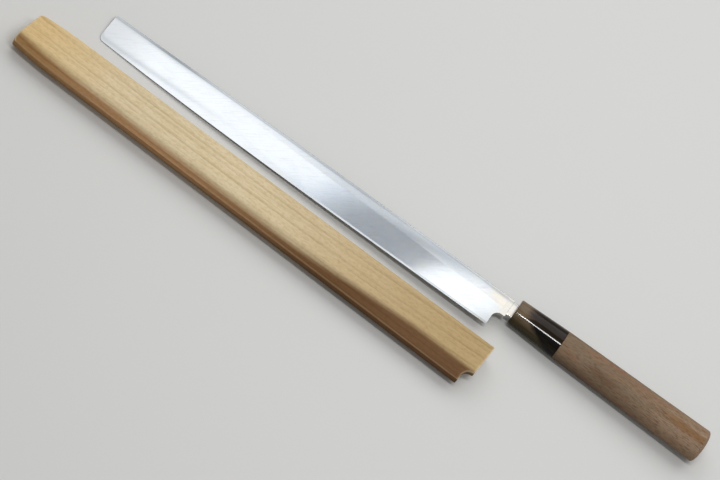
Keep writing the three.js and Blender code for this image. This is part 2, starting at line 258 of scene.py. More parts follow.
# %% [markdown]
# ## Floor and world
# The pair lies on a plain, pale, matte floor: one large square a hair under the pieces, so that no two
# faces share a plane. A grey world fills the shadows; lamps don't hide it, so a mirror shows lamp and
# world added up. A curved backdrop would do as well, but this steep view never meets a horizon.

# %% Floor and world
FLOOR_HALF, FLOOR_DROP = 12.0, 0.0002
FLOOR_SHADE = seen(208, 208, 206)
WORLD_LEVEL = 0.41

corner_signs = np.array([(-1, -1), (1, -1), (1, 1), (-1, 1)], float)
floor_corners = np.column_stack([FLOOR_HALF * corner_signs, np.full(4, -FLOOR_DROP)])
floor_mesh = bpy.data.meshes.new("floor")
floor_mesh.from_pydata(floor_corners.tolist(), [], [(0, 1, 2, 3)])
floor = bpy.data.objects.new("floor", floor_mesh)
bpy.context.scene.collection.objects.link(floor)
floor_finish = Finish("pale_floor")
floor_finish.set(Base_Color=FLOOR_SHADE, Roughness=0.9, Specular_IOR_Level=0.1)
floor_mesh.materials.append(floor_finish.material)
floor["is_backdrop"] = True

world = bpy.data.worlds.new("studio")
world.use_nodes = True
sky = world.node_tree.nodes["Background"].inputs
sky["Color"].default_value = (1.0, 1.0, 1.0, 1.0)
sky["Strength"].default_value = WORLD_LEVEL
bpy.context.scene.world = world
bpy.context.scene.view_settings.view_transform = "Standard"
print(f"floor {2 * FLOOR_HALF:.0f} m wide, world at {WORLD_LEVEL}")

# %% [markdown]
# ## Light
# The hollow face is a long, faintly concave mirror, so what hangs above it decides how it looks: two
# soft panels behind the knife make it white, and the dim gap between them shows as the grey stretch in
# the blade. Two feathers soften one side of the gap, and all its lamps are slightly cool. A strip
# overhead is the key light. A short, bright glint shines over part of the same strip; it is hidden from
# diffuse rays, so it brightens no matte surface and only draws the line on the horn.

# %% Light
WHITE, COOL = (1.0, 1.0, 1.0), (0.92, 1.0, 1.12)
PANEL_FOOT, PANEL_LEAN, PANEL_TURN = (0.0, 0.02, 0.0), 36.0, 3.0
PANEL_DEPTH, PANEL_LIGHT = 0.84, 1.44
STRIP_FOOT, STRIP_LEAN, STRIP_TURN, STRIP_WIDTH = (0.0, 0.03, 0.0), -17.5, 0.0, 0.045
KEY_SPAN, KEY_LIGHT = (-0.07, 0.33), 48.0
GLINT_SPAN, GLINT_LIGHT = (0.072, 0.150), 300.0


def soft_panel(name, start, end, light, foot, lean, turn, depth, tint=WHITE):
    """A rectangular lamp of radiance light, in the plane one metre from foot that leans back by lean
    degrees. It reaches from start to end along an axis turned by turn degrees out of x."""
    lean, turn = math.radians(lean), math.radians(turn)
    away, side = Vector((0.0, math.sin(lean), math.cos(lean))), Vector((1.0, 0.0, 0.0))
    along_panel = math.cos(turn) * side + math.sin(turn) * away.cross(side)
    axes = Matrix((along_panel, away.cross(along_panel), away)).transposed().to_4x4()
    middle = Vector(foot) + away + (start + end) / 2 * along_panel
    lamp = bpy.data.lights.new(name, "AREA")
    lamp.shape = "RECTANGLE"
    lamp.size, lamp.size_y = end - start, depth
    lamp.energy = light * math.pi * lamp.size * depth
    lamp.color = tint
    shown = bpy.data.objects.new(name, lamp)
    shown.matrix_world = Matrix.Translation(middle) @ axes
    shown.visible_camera = False
    bpy.context.scene.collection.objects.link(shown)
    return shown


# Each panel: where it starts and ends, its share of the panels' light, and its tint.
panels = (
    ("tip_panel", -0.95, -0.108, 1.0, WHITE),
    ("bright_feather", -0.108, -0.090, 0.72, COOL),
    ("dim_feather", -0.090, -0.070, 0.36, COOL),
    ("gap_panel", -0.070, 0.022, 0.18, COOL),
    ("grip_panel", 0.022, 0.85, 1.2, WHITE),
)
for label, start, end, share, tint in panels:
    soft_panel(label, start, end, share * PANEL_LIGHT,
               PANEL_FOOT, PANEL_LEAN, PANEL_TURN, PANEL_DEPTH, tint)

strip = (STRIP_FOOT, STRIP_LEAN, STRIP_TURN, STRIP_WIDTH)
soft_panel("key_strip", *KEY_SPAN, KEY_LIGHT, *strip)
glint = soft_panel("glint", *GLINT_SPAN, GLINT_LIGHT, *strip)
glint.visible_diffuse = False
print(len(panels), "panels, a key strip and a glint")

# %% [markdown]
# ## Two kinds of grid
# Nearly every piece is one of two shapes. A slab is two height fields over one plan grid, closed by
# a wall all round: the blade's layers and the scabbard's boards. A sleeve is a row of closed rings:
# the ferrule and the handle. Both are plain arrays, so no vertex is ever touched one by one, and the
# sign of the enclosed volume tells whether the faces look outwards.

# %% Slabs and sleeves
MM = 0.001
CREASE_DEGREES = 25.0


def put_in_scene(name, points, faces, paints=None):
    """Makes the mesh object; faces are turned so that the enclosed volume, the sum of the signed
    tetrahedra from the middle of the points to every triangle, is positive."""
    corners = points[faces[:, [0, 1, 2, 0, 2, 3]].reshape(-1, 3)]
    centred = corners - points.mean(axis=0)
    volume = np.einsum("ij,ij->", centred[:, 0], np.cross(centred[:, 1], centred[:, 2]))
    faces = faces if volume > 0 else faces[:, ::-1]
    mesh = bpy.data.meshes.new(name)
    outline = [list(dict.fromkeys(face)) for face in faces.tolist()]
    mesh.from_pydata(points.tolist(), [], [face for face in outline if len(face) > 2])
    mesh.shade_smooth()
    mesh.set_sharp_from_angle(angle=math.radians(CREASE_DEGREES))
    for label, values in (paints or {}).items():
        paint = mesh.attributes.new(label, "FLOAT", "POINT")
        paint.data.foreach_set("value", values.astype(np.float32))
    made = bpy.data.objects.new(name, mesh)
    bpy.context.scene.collection.objects.link(made)
    span = (points.max(axis=0) - points.min(axis=0)) / MM
    print(f"{name}: {len(faces)} faces, {span[0]:.1f} x {span[1]:.1f} x {span[2]:.1f} mm")
    return made


def slab(name, x, y, top, bottom, to_row, **paints):
    """Upper points (x, y, top) and lower points (x, y, bottom) on one grid; quads join neighbours on
    each sheet, and a wall joins the two rims. A paint is one grid for both sheets, or a pair of grids."""
    index = np.arange(x.size).reshape(x.shape)
    quads = [index[:-1, :-1], index[1:, :-1], index[1:, 1:], index[:-1, 1:]]
    sheet = np.stack(quads, -1).reshape(-1, 4)
    rim = np.concatenate([index[:-1, 0], index[-1, :-1], index[:0:-1, -1], index[0, :0:-1]])
    ahead = np.roll(rim, -1)
    wall = np.stack([rim + x.size, ahead + x.size, ahead, rim], -1)
    faces = np.concatenate([sheet, sheet[:, ::-1] + x.size, wall])
    local = np.concatenate([np.stack([x, y, z], -1).reshape(-1, 3) for z in (top, bottom)])
    both = (2, *x.shape)
    doubled = {label: np.broadcast_to(values, both).ravel() for label, values in paints.items()}
    return put_in_scene(name, to_row(local), faces, doubled)


def sleeve(name, rings, to_row, looped):
    """Quads join each ring to the next. A looped sleeve joins the last ring to the first; any other
    one has rings that shrink to a point at both ends, where the quads become triangles."""
    rows, sides = rings.shape[:2]
    index = np.arange(rows * sides).reshape(rows, sides)
    if not looped:
        index[0] = index[0, 0]
        index[-1] = index[-1, 0]
    after = np.roll(index, -1, axis=0) if looped else index[1:]
    before = index if looped else index[:-1]
    faces = np.stack([before, np.roll(before, -1, axis=1), np.roll(after, -1, axis=1), after], -1)
    used, compact = np.unique(faces, return_inverse=True)
    return put_in_scene(name, to_row(rings.reshape(-1, 3)[used]), compact.reshape(-1, 4))


print("slabs and sleeves ready")

# %% [markdown]
# ## Curves
# Shapes and painted marks share four curves: a straight mix, a smooth step, a bell and a quarter-round.
# Falloffs in the interface do the same by eye. A formula can be read and measured, and it takes a whole
# grid at once.


# %% Curves that shapes and paints share
def blend(first, second, share):
    """The straight mix: first plus share of the way to second."""
    return first + (second - first) * share


def rise(value, start, end):
    """The smooth step 3t^2 - 2t^3: 0 up to start, 1 from end on. It falls where end is below start."""
    t = np.clip((value - start) / (end - start), 0.0, 1.0)
    return t * t * (3.0 - 2.0 * t)


def bell(distance, width):
    """The bell curve exp(-t^2), with t the distance counted in widths."""
    return np.exp(-((distance / width) ** 2))


def round_off(distance, radius):
    """How far a quarter-round of that radius drops a flat face at a distance from its rim."""
    into = np.clip(radius - distance, 0.0, radius)
    return radius - np.sqrt(radius**2 - into**2)


print("curves ready")

# %% [markdown]
# ## How the knife lies
# The knife isn't level: it leans on its bevel and dips from the thick grip to the tip. The record's
# mount on the blade's flat says which way that flat looks, and that gives the lean and the dip. The
# ferrule's own corners then give the place of its front; the knife's zero is there, on the tang's axis,
# which lies a little nearer the edge than the grip's.

# %% The knife's own frame
HEEL_THICKNESS, TIP_THICKNESS, EDGE_LENGTH = 3.4, 1.7, 300.0
GRIP_RISE = 0.7

flat_axis = next(m["axis"] for m in frame["record"]["mounts"] if m["name"] == "blade_flat")
thinning = (HEEL_THICKNESS - TIP_THICKNESS) / EDGE_LENGTH
lean = math.asin(flat_axis[1])
dip = math.asin((flat_axis[0] + thinning) / math.cos(lean))
knife_turn = np.array(Matrix.Rotation(-dip, 3, "Y") @ Matrix.Rotation(lean, 3, "X"))

ferrule_node = frame["nodes"]["ferrule"].data
ferrule_points = np.empty(3 * len(ferrule_node.vertices), np.float32)
ferrule_node.vertices.foreach_get("co", ferrule_points)
untilted = ferrule_points.reshape(-1, 3) @ knife_turn
low, high = untilted.min(axis=0), untilted.max(axis=0)
ferrule_front = np.array([low[0], (low[1] + high[1]) / 2 - GRIP_RISE * MM, (low[2] + high[2]) / 2])
knife_zero = knife_turn @ ferrule_front


def knife_to_row(points):
    """Millimetres in the knife's frame, scaled, tilted and moved to the row's frame."""
    return points * MM @ knife_turn.T + knife_zero


print(f"lean {math.degrees(lean):.2f} degrees, dip {math.degrees(dip):.2f} degrees")
print("knife's zero at", knife_zero.round(4))

# %% [markdown]
# ## Blade outline
# Seen from above, the spine curves down a little to the tip, the edge has a shallow belly, the tip is
# cut square with one round corner, and the heel steps up a coved notch to the neck. A curve drawn by
# hand could follow this, but a formula keeps the edge true and answers anywhere along the blade.

# %% Blade outline
HEEL_HEIGHT, TIP_HEIGHT, EDGE_BELLY, SPINE_DROP = 26.3, 21.5, 1.9, 2.9
CORNER_LENGTH, CORNER_HEIGHT = 3.2, 5.2
NECK_LENGTH, NECK_HEIGHT, HEEL_COVE, SHOULDER_GAP = 7.0, 13.8, 5.0, 3.7
SPINE_SHOULDER, EDGE_SHOULDER = 0.8, 2.4
STEEL_TAIL = 3.0

SHOULDER_X = -SHOULDER_GAP
HEEL_X = SHOULDER_X - NECK_LENGTH
TIP_X = HEEL_X - EDGE_LENGTH
TANG_HEIGHT = NECK_HEIGHT - SPINE_SHOULDER - EDGE_SHOULDER
SPINE_Y = TANG_HEIGHT / 2 + SPINE_SHOULDER
NECK_Y = SPINE_Y - NECK_HEIGHT


def along(x):
    """The share of the blade's length: 0 at the heel, 1 at the tip."""
    return (HEEL_X - x) / EDGE_LENGTH


def spine_at(x):
    """The spine's y, which falls with the square of the length."""
    return SPINE_Y - SPINE_DROP * np.maximum(along(x), 0.0) ** 2


def height_at(x):
    """Spine to edge: grows a little past the heel and falls off with the cube of the length."""
    u = np.clip(along(x), 0.0, 1.0)
    return HEEL_HEIGHT + EDGE_BELLY * u - (HEEL_HEIGHT + EDGE_BELLY - TIP_HEIGHT) * u**3


def edge_at(x):
    """Spine less height, plus the lift of the tip's corner, a quarter of an ellipse."""
    into = np.clip(1 - (x - TIP_X) / CORNER_LENGTH, 0.0, 1.0)
    return spine_at(x) - height_at(x) + CORNER_HEIGHT * (1 - np.sqrt(1 - into**2))


print(f"tip at {TIP_X:.1f} mm, heel at {HEEL_X:.1f} mm, shoulders at {SHOULDER_X:.1f} mm")

# %% [markdown]
# ## Rows and columns of the blade
# Each row of the grid runs from a point on the lower outline to a point on the spine. Near the heel the
# spine's points lag behind, so that the rows fan out along the heel's face and never cross. Columns are
# packed towards both rims, where the face bends most; a subdivided plane spends its points evenly and
# would need many more of them.

# %% Rows and columns of the blade
CORNER_ROWS, EDGE_ROWS, FACE_ROWS, COVE_ROWS = 14, 190, 16, 12
HEEL_LAG, LAG_START, COVE_LAG = 14.0, 60.0, 4.0
TAIL_ANGLE = math.acos(1 - STEEL_TAIL / HEEL_COVE)


def cove(sweep):
    """The cove under the neck: a quarter of a circle, swept from the heel's face to the neck."""
    return HEEL_X + HEEL_COVE * (1 - np.cos(sweep)), NECK_Y - HEEL_COVE * (1 - np.sin(sweep))


def blade_rows(low_at):
    """Lower and upper end of each row, as two arrays of (x, y), from the tip to the steel's tail.
    low_at gives the lower outline's y along the edge; the heel's face and the cove follow."""
    corner_angle = np.linspace(0, math.pi / 2, CORNER_ROWS, endpoint=False)
    corner = TIP_X + CORNER_LENGTH * (1 - np.cos(corner_angle))
    edge = np.concatenate([corner, np.linspace(TIP_X + CORNER_LENGTH, HEEL_X, EDGE_ROWS)])
    face_y = np.linspace(low_at(np.array([HEEL_X]))[0], NECK_Y - HEEL_COVE, FACE_ROWS)[1:]
    cove_x, cove_y = cove(np.linspace(0, TAIL_ANGLE, COVE_ROWS)[1:])
    low_x = np.concatenate([edge, np.full(face_y.size, HEEL_X), cove_x])
    low_y = np.concatenate([low_at(edge), face_y, cove_y])
    high_x = np.concatenate([
        edge - HEEL_LAG * rise(edge, HEEL_X - LAG_START, HEEL_X),
        np.linspace(HEEL_X - HEEL_LAG, HEEL_X - COVE_LAG, face_y.size + 1)[1:],
        np.linspace(HEEL_X - COVE_LAG, HEEL_X + STEEL_TAIL, cove_x.size + 1)[1:],
    ])
    return np.stack([low_x, low_y], -1), np.stack([high_x, spine_at(high_x)], -1)


def columns(count, near_edge, near_spine):
    """Shares across a row, from 0 at the edge to 1 at the spine, packed closer towards both rims by
    subtracting a sine wave that is weighted to one rim or the other."""
    t = np.linspace(0.0, 1.0, count)
    return t - near_edge * np.sin(2 * np.pi * t) * (1 - t) - near_spine * np.sin(2 * np.pi * t) * t


def across(low_ends, high_ends, shares):
    """The plan grid: every row divided by the shares."""
    grid = low_ends[:, None] + (high_ends - low_ends)[:, None] * shares[None, :, None]
    return grid[..., 0], grid[..., 1]


print(f"{CORNER_ROWS + EDGE_ROWS + FACE_ROWS + COVE_ROWS - 2} rows from tip to tail")

# %% [markdown]
# ## Hollow face and bevel
# The hollow (urasuki) leaves a flat band along the spine, wide at the heel and narrow at the tip, and
# a thin flat rim along the edge. A narrow easing runs under the spine, set off by a fine line. On the
# other side a flat runs down to the ridge line and the bevel from there to the edge. A boolean cut with a
# wheel would be closer to the grinder's way; heights over the plan give the same true slopes to the
# reflections, with clean rows.

# %% Hollow face and bevel
SPINE_BAND = (9.2, 3.4)
HEEL_RIM, TIP_RIM, RIM_SPREAD, RIM_GROWTH = 1.2, 2.2, 17.5, (0.45, 0.70)
HOLLOW_DEPTH, TIP_FADE, HEEL_FADE = 0.35, 8.0, 28.0
SPINE_EASING, EASING_DROP, EASING_LINE, LINE_WIDTH = 1.5, 0.07, 0.05, 0.16
SPINE_ROUND = 0.35
FLAT_WIDTH = (9.5, 7.1)
EDGE_THICKNESS = 0.08
FACE_Z = HEEL_THICKNESS / 2


def band_start(x):
    """The spine less the band's width, which narrows evenly to the tip."""
    return spine_at(x) - blend(*SPINE_BAND, along(x))


def edge_band_end(x):
    """The rim along the edge: thin up to the middle, then wider, then tapering towards the tip."""
    u = along(x)
    return edge_at(x) + blend(HEEL_RIM, TIP_RIM + RIM_SPREAD * (1 - u), rise(u, *RIM_GROWTH))


def hollow_face(x, y):
    """The face's height: flat, less a parabola 4t(1-t) across the hollow that fades at tip and heel,
    less a sloped easing, a fine groove and a quarter-round at the spine."""
    start, end = band_start(x), edge_band_end(x)
    t = np.clip((start - y) / (start - end), 0.0, 1.0)
    fading = np.minimum(rise(x - TIP_X - TIP_RIM, 0.0, TIP_FADE), rise(HEEL_X - x, 0.0, HEEL_FADE))
    hollow = HOLLOW_DEPTH * fading * 4 * t * (1 - t)
    from_spine = spine_at(x) - y
    easing = EASING_DROP * np.clip(1 - from_spine / SPINE_EASING, 0.0, 1.0)
    groove = EASING_LINE * bell(from_spine - SPINE_EASING, LINE_WIDTH)
    return FACE_Z - hollow - easing - groove - round_off(from_spine, SPINE_ROUND)


def thickness_at(x):
    """The blade's thickness at the spine, thinning evenly to the tip."""
    return blend(HEEL_THICKNESS, TIP_THICKNESS, along(x))


def ridge_at(x):
    """The ridge line: the spine less the flat's width, which narrows evenly to the tip."""
    return spine_at(x) - blend(*FLAT_WIDTH, along(x))


def bevel_face(x, y):
    """The other face: flat from the spine to the ridge line, then straight down to the edge."""
    share = np.clip((y - edge_at(x)) / (ridge_at(x) - edge_at(x)), 0.0, 1.0)
    body = blend(EDGE_THICKNESS, thickness_at(x), share)
    return FACE_Z - body + round_off(spine_at(x) - y, SPINE_ROUND)


print(f"hollow {HOLLOW_DEPTH} mm deep, spine {HEEL_THICKNESS} to {TIP_THICKNESS} mm thick")

# %% [markdown]
# ## Steel layer
# Hard steel is forge-welded to the hollow side and carries the whole edge. Its lower side is the weld,
# and past the weld line the bevel, whichever is higher. Cutting the blade with a thin plate would give
# the same layer, but with a mesh that is harder to shade.

# %% Steel layer
STEEL_LAYER = (1.25, 0.75)
STEEL_COLUMNS, STEEL_LEAST = 96, 0.02


def weld_height(x):
    """The face less the steel's thickness, which thins evenly to the tip."""
    return FACE_Z - blend(*STEEL_LAYER, along(x))


steel_low, steel_high = blade_rows(edge_at)
steel_x, steel_y = across(steel_low, steel_high, columns(STEEL_COLUMNS, near_edge=0.05, near_spine=0.11))
steel_top = hollow_face(steel_x, steel_y)
steel_bottom = np.maximum(weld_height(steel_x), bevel_face(steel_x, steel_y))
steel_bottom = np.minimum(steel_bottom, steel_top - STEEL_LEAST)
print("steel layer's grid", steel_x.shape)

# %% [markdown]
# ## Painted shade of the hollow face
# The hollow face mirrors the lamps, and where its reflection looks darker, painted shade lies in the
# steel's colour: in the line under the spine, along the spine towards the tip, in the crease above the
# rim, in a patch of the spine's band, on the rim near the heel and in the heel's corner. A streak of
# tarnish runs on over the neck. A brush could paint such marks, but they follow the outline, so they are
# bell curves and smooth steps of the distances to spine, edge and heel, kept as painted values of the mesh.

# %% Painted shade of the hollow face
# Each row: how dark the mark makes the steel, then where it lies, in millimetres or shares of the length.
# All rows are painted shade except the streak's, which is tarnish.
LINE_SHADE, LINE_BLUR, LINE_START = 0.30, 0.3, (2.0, 16.0)
SPINE_SHADE, SPINE_DEPTH, SPINE_START = 0.45, 2.3, (0.2, 0.5)
TIP_SPINE_SHADE, TIP_MIDDLE, TIP_REACH, TIP_DEPTH = 0.55, 0.85, 0.085, 3.2
CREASE_SHADE, CREASE_BLUR, CREASE_START = 0.33, 2.0, (0.6, 0.9)
PATCH_SHADE, PATCH_REACH, PATCH_X, PATCH_Y, PATCH_SLANT = 0.48, 30.0, -54.0, 2.8, 5.7
RIM_SHADE, RIM_AT, RIM_WIDTH, RIM_END = 0.28, 1.3, 0.45, (0.17, 0.12)
HEEL_SHADE, HEEL_REACH, HEEL_LEVELS = 0.50, 10.6, ((6.0, 12.0), (14.8, 22.8))
STREAK_DULL, STREAK_AT, STREAK_WIDTH, STREAK_REACH = 0.50, 1.9, 1.15, 22.0
BAND_BLUR, RIM_BLUR, RIM_GRIT, GRIT_STEP = 0.7, 0.4, (2.0, 0.7), (0.40, 0.60)


def neck_streak(x, y):
    """A bell curve of the distance from the spine that grows along the last stretch of the blade."""
    off_streak = spine_at(x) - y - STREAK_AT
    return STREAK_DULL * bell(off_streak, STREAK_WIDTH) * rise(x, HEEL_X - STREAK_REACH, HEEL_X)


reached, from_heel = along(steel_x), HEEL_X - steel_x
from_spine, from_edge = spine_at(steel_x) - steel_y, steel_y - edge_at(steel_x)
from_rim = steel_y - edge_band_end(steel_x)
spine_band = rise(steel_y - band_start(steel_x), -BAND_BLUR, BAND_BLUR)
edge_band = rise(from_rim, RIM_BLUR, -RIM_BLUR)
patch_middle = PATCH_X + PATCH_SLANT * (steel_y - PATCH_Y)
heel_low = sum(rise(from_spine, *step) for step in HEEL_LEVELS) / len(HEEL_LEVELS)
# painted shade where the mirror looks darker, plus the tarnish streak at the neck
painted_shade_and_tarnish = (
    LINE_SHADE * bell(from_spine - SPINE_EASING, LINE_BLUR) * rise(from_heel, *LINE_START)
    + SPINE_SHADE * np.exp(-((from_spine / SPINE_DEPTH) ** 3)) * rise(reached, *SPINE_START)
    + TIP_SPINE_SHADE * bell(reached - TIP_MIDDLE, TIP_REACH) * bell(from_spine, TIP_DEPTH)
    + CREASE_SHADE * bell(from_rim, CREASE_BLUR) * rise(reached, *CREASE_START)
    + PATCH_SHADE * bell(steel_x - patch_middle, PATCH_REACH) * spine_band
    + RIM_SHADE * bell(from_edge - RIM_AT, RIM_WIDTH) * rise(reached, *RIM_END)
    + HEEL_SHADE * bell(from_heel, HEEL_REACH) * heel_low
    + neck_streak(steel_x, steel_y)
)
rim_grit = blend(*RIM_GRIT, rise(reached, *GRIT_STEP))
steel = slab("blade_steel", steel_x, steel_y, steel_top, steel_bottom, knife_to_row,
             band=np.maximum(spine_band, rim_grit * edge_band), shade=np.clip(painted_shade_and_tarnish, 0.0, 1.0))

# %% [markdown]
# ## Hard steel finish
# The hollow face was ground on a wheel and rubbed on stones: bright, with hair-fine marks that run
# aslant. Towards the tip it darkens as painted shade, for the reflection that fades there. The flat bands
# along spine and edge are less polished, and towards the filed neck they have taken faint yellow and pink
# stains. A brushed-metal picture would repeat and stretch; long noise, turned to the grinding direction,
# gives the marks to the colour, the roughness and a very shallow relief. Places along the knife are the
# row's x, in metres.

# %% Hard steel finish
STEEL_BRIGHT, STEEL_CLOUD, STEEL_TIP_SHADE = seen(192, 197, 201), seen(186, 192, 197), seen(168, 171, 174)
STEEL_SHADE = seen(116, 122, 128)
STAIN_YELLOW, STAIN_PINK, LEAST_STAIN = seen(190, 187, 176), seen(186, 181, 187), 0.3
NECK_FILED, NECK_YELLOW, NECK_PINK = seen(186, 186, 183), seen(189, 185, 173), seen(187, 181, 179)
TIP_SHADE_REACH, STAINS_GROW = (-0.210, -0.165), (0.045, 0.090)
NECK_STAINS, FILED_FROM = (0.078, 0.088), (0.0855, 0.0930)
GRINDING_ANGLE, HAIRLINE, SCRATCH = -38.0, (0.011, 0.00022, 0.01), (0.012, 0.0009, 0.02)
STEEL_CLOUDS, STEEL_MOTTLE = (0.022, 0.011, 0.02), (0.005, 0.003, 0.005)


def dress(piece, finish, node, body):
    """Gives the piece its finish; the piece then stands for the node and rides on the body."""
    piece.data.materials.append(finish.material)
    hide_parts(node)
    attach(piece, body)
    print(f"{piece.name} stands for {node} and rides on the {body}")


polish = Finish("hard_steel_ground")
aslant = polish.turned((0.0, 0.0, GRINDING_ANGLE))
hairlines = polish.noise(HAIRLINE, seed=3.0, detail=3.0, where=aslant)
scratches = polish.noise(SCRATCH, seed=9.0, detail=3.0, where=aslant)
clouds = polish.noise(STEEL_CLOUDS, seed=1.0, detail=4.0, roughness=0.6)
mottle = polish.noise(STEEL_MOTTLE, seed=5.0, detail=4.0, roughness=0.65)
band, reach = polish.painted("band"), polish.axis("X")
in_band = polish.math("MINIMUM", band, 1.0)
tone = polish.mix(polish.fade(clouds, 0.42, 0.72), STEEL_BRIGHT, STEEL_CLOUD)
stain = polish.ramp(mottle, [(0.38, STAIN_PINK), (0.5, STEEL_CLOUD), (0.62, STAIN_YELLOW)])
stained = polish.times(polish.fade(reach, *STAINS_GROW), in_band)
tone = polish.mix(polish.math("MAXIMUM", stained, LEAST_STAIN), tone, stain)
# painted shade: the reflection fades towards the tip
tone = polish.mix(polish.fade(reach, *TIP_SHADE_REACH, 1.0, 0.0), tone, STEEL_TIP_SHADE)
tone = polish.mix(polish.fade(scratches, 0.50, 0.72, high=0.11), tone, STEEL_SHADE)
tone = polish.mix(polish.fade(reach, *FILED_FROM), tone, NECK_FILED)
neck_stain = polish.ramp(mottle, [(0.42, NECK_PINK), (0.58, NECK_YELLOW)])
tone = polish.mix(polish.times(polish.fade(reach, *NECK_STAINS), in_band), tone, neck_stain)
# the painted shade of the hollow face, and the neck's tarnish streak
tone = polish.mix(polish.painted("shade"), tone, STEEL_SHADE)
roughness = polish.scaled(band, 0.12, polish.scaled(hairlines, 0.06, 0.055))
relief = polish.bump(hairlines, depth=0.000003, strength=0.3)
relief = polish.bump(scratches, depth=0.000004, strength=0.2, under=relief)
polish.set(Base_Color=tone, Metallic=1.0, Roughness=roughness, Normal=relief)
dress(steel, polish, "blade_hagane", "knife")

# %% [markdown]
# ## Soft iron body
# Iron backs the steel and goes on as the neck, the shoulders and the tang. Its lower outline is the
# weld line, where the bevel cuts through into the steel. The same rows serve; past the heel a second
# set carries the rest of the cove, the neck, the steps of the shoulders and the tapering tang, so that
# the body stays one slab with no joint to hide.

# %% Soft iron body
TANG_LENGTH, TANG_THICKNESS, TANG_END_HEIGHT, TANG_END_THICKNESS = 98.0, 3.0, 5.0, 2.2
WELD_GAP, WELD_LEDGE, TAIL_STEP, SHOULDER_STEP = 0.04, 0.03, 0.02, 0.12
TANG_ROUND, IRON_COLUMNS, IRON_LEAST = 0.3, 56, 0.01
REST_ROWS, NECK_ROWS, TANG_ROWS = 8, 6, 20


def weld_line(x):
    """Where the bevel meets the weld: the share of the bevel at which it is as thick as the steel."""
    layer = blend(*STEEL_LAYER, along(x)) + WELD_GAP + WELD_LEDGE
    share = (layer - EDGE_THICKNESS) / (thickness_at(x) - EDGE_THICKNESS)
    return blend(edge_at(x), ridge_at(x), share)


def tang_share(x):
    """0 at the shoulders, 1 at the tang's end."""
    return np.clip((np.asarray(x, float) - SHOULDER_X) / (TANG_LENGTH - SHOULDER_X), 0.0, 1.0)


iron_low, iron_high = blade_rows(weld_line)
rest_x, rest_y = cove(np.linspace(TAIL_ANGLE, math.pi / 2, REST_ROWS))
rest_x[0] += TAIL_STEP
neck_x = np.concatenate([rest_x, np.linspace(HEEL_X + HEEL_COVE, SHOULDER_X, NECK_ROWS)[1:]])
neck_y = np.concatenate([rest_y, np.full(NECK_ROWS - 1, NECK_Y)])
tang_x = np.concatenate([[SHOULDER_X + SHOULDER_STEP], np.linspace(0.0, TANG_LENGTH, TANG_ROWS)])
tang_half = blend(TANG_HEIGHT, TANG_END_HEIGHT, tang_share(tang_x)) / 2
tang_half_thick = blend(TANG_THICKNESS, TANG_END_THICKNESS, tang_share(tang_x))[:, None] / 2
blade_end, neck_end = len(iron_low), len(iron_low) + len(neck_x)
iron_low = np.concatenate([
    iron_low, np.stack([neck_x, neck_y], -1), np.stack([tang_x, -tang_half], -1)])
iron_high = np.concatenate([
    iron_high, np.stack([neck_x, spine_at(neck_x)], -1), np.stack([tang_x, tang_half], -1)])
iron_x, iron_y = across(iron_low, iron_high, columns(IRON_COLUMNS, near_edge=0.08, near_spine=0.12))

tang_side = tang_half_thick - round_off(tang_half[:, None] - np.abs(iron_y[neck_end:]), TANG_ROUND)
iron_top = hollow_face(iron_x, iron_y)
iron_top[:blade_end] = weld_height(iron_x[:blade_end]) - WELD_GAP
iron_top[neck_end:] = tang_side
iron_bottom = bevel_face(iron_x, iron_y)
iron_bottom[neck_end:] = -tang_side
iron_bottom = np.minimum(iron_bottom, iron_top - IRON_LEAST)
iron = slab("blade_iron", iron_x, iron_y, iron_top, iron_bottom, knife_to_row,
            shade=[neck_streak(iron_x, iron_y), np.zeros_like(iron_x)])

# %% [markdown]
# ## Soft iron finish
# Iron stays duller than steel: a misty grey on the bevel, and brighter, cream-stained metal at the neck
# where it is only filed; the steel's dark streak runs on over it. One plain grey would look like plastic,
# so cloudy noise moves both colour and roughness, and file marks run across.

# %% Soft iron finish
IRON_MIST, NECK_CREAM = seen(150, 153, 155), seen(185, 182, 176)
NECK_FROM = (0.082, 0.090)
IRON_GRAIN, FILE_MARK = (0.004, 0.002, 0.003), (0.0003, 0.012, 0.006)

mist = Finish("soft_iron_misted")
grain = mist.noise(IRON_GRAIN, seed=2.0, detail=5.0, roughness=0.65)
file_marks = mist.noise(FILE_MARK, seed=6.0, detail=2.0)
at_neck = mist.fade(mist.axis("X"), *NECK_FROM)
tone = mist.mix(at_neck, IRON_MIST, NECK_CREAM)
tone = mist.mix(mist.fade(grain, 0.45, 0.75, high=0.3), tone, STAIN_YELLOW)
tone = mist.mix(mist.painted("shade"), tone, STEEL_SHADE)
roughness = mist.scaled(at_neck, -0.12, mist.scaled(grain, 0.16, 0.28))
relief = mist.bump(file_marks, depth=0.000004, strength=0.3)
mist.set(Base_Color=tone, Metallic=1.0, Roughness=roughness, Normal=relief)
dress(iron, mist, "blade_jigane", "knife")

# %% [markdown]
# ## Rings of the grip
# The grip is an oval that swells from the ferrule's front to the butt. A scaled cylinder could give
# the oval, but not the slot inside it, so each ring is the curve |y/a|^p + |z/b|^p = 1: p = 2 gives the
# oval and the round tenon, p = 8 the slot for the tang.

# %% Rings of the grip
FERRULE_LENGTH, GRIP_LENGTH = 35.0, 145.6
FRONT, JOINT, BUTT = np.array([18.5, 15.2]) / 2, np.array([21.0, 17.2]) / 2, np.array([23.6, 19.3]) / 2
SLOT_POWER, OVAL_POWER = 8.0, 2.0
SIDES = 144


def oval_at(x):
    """Half height and half width: straight tapers from front to joint and from joint to butt."""
    x = np.asarray(x, float)[..., None]
    on_ferrule = blend(FRONT, JOINT, x / FERRULE_LENGTH)
    on_handle = blend(JOINT, BUTT, (x - FERRULE_LENGTH) / (GRIP_LENGTH - FERRULE_LENGTH))
    return np.where(x < FERRULE_LENGTH, on_ferrule, on_handle)


def tang_at(x, grow):
    """Half height and half thickness of the tang, grown by a clearance."""
    start, end = np.array([TANG_HEIGHT, TANG_THICKNESS]), np.array([TANG_END_HEIGHT, TANG_END_THICKNESS])
    return blend(start, end, tang_share(x)[..., None]) / 2 + grow


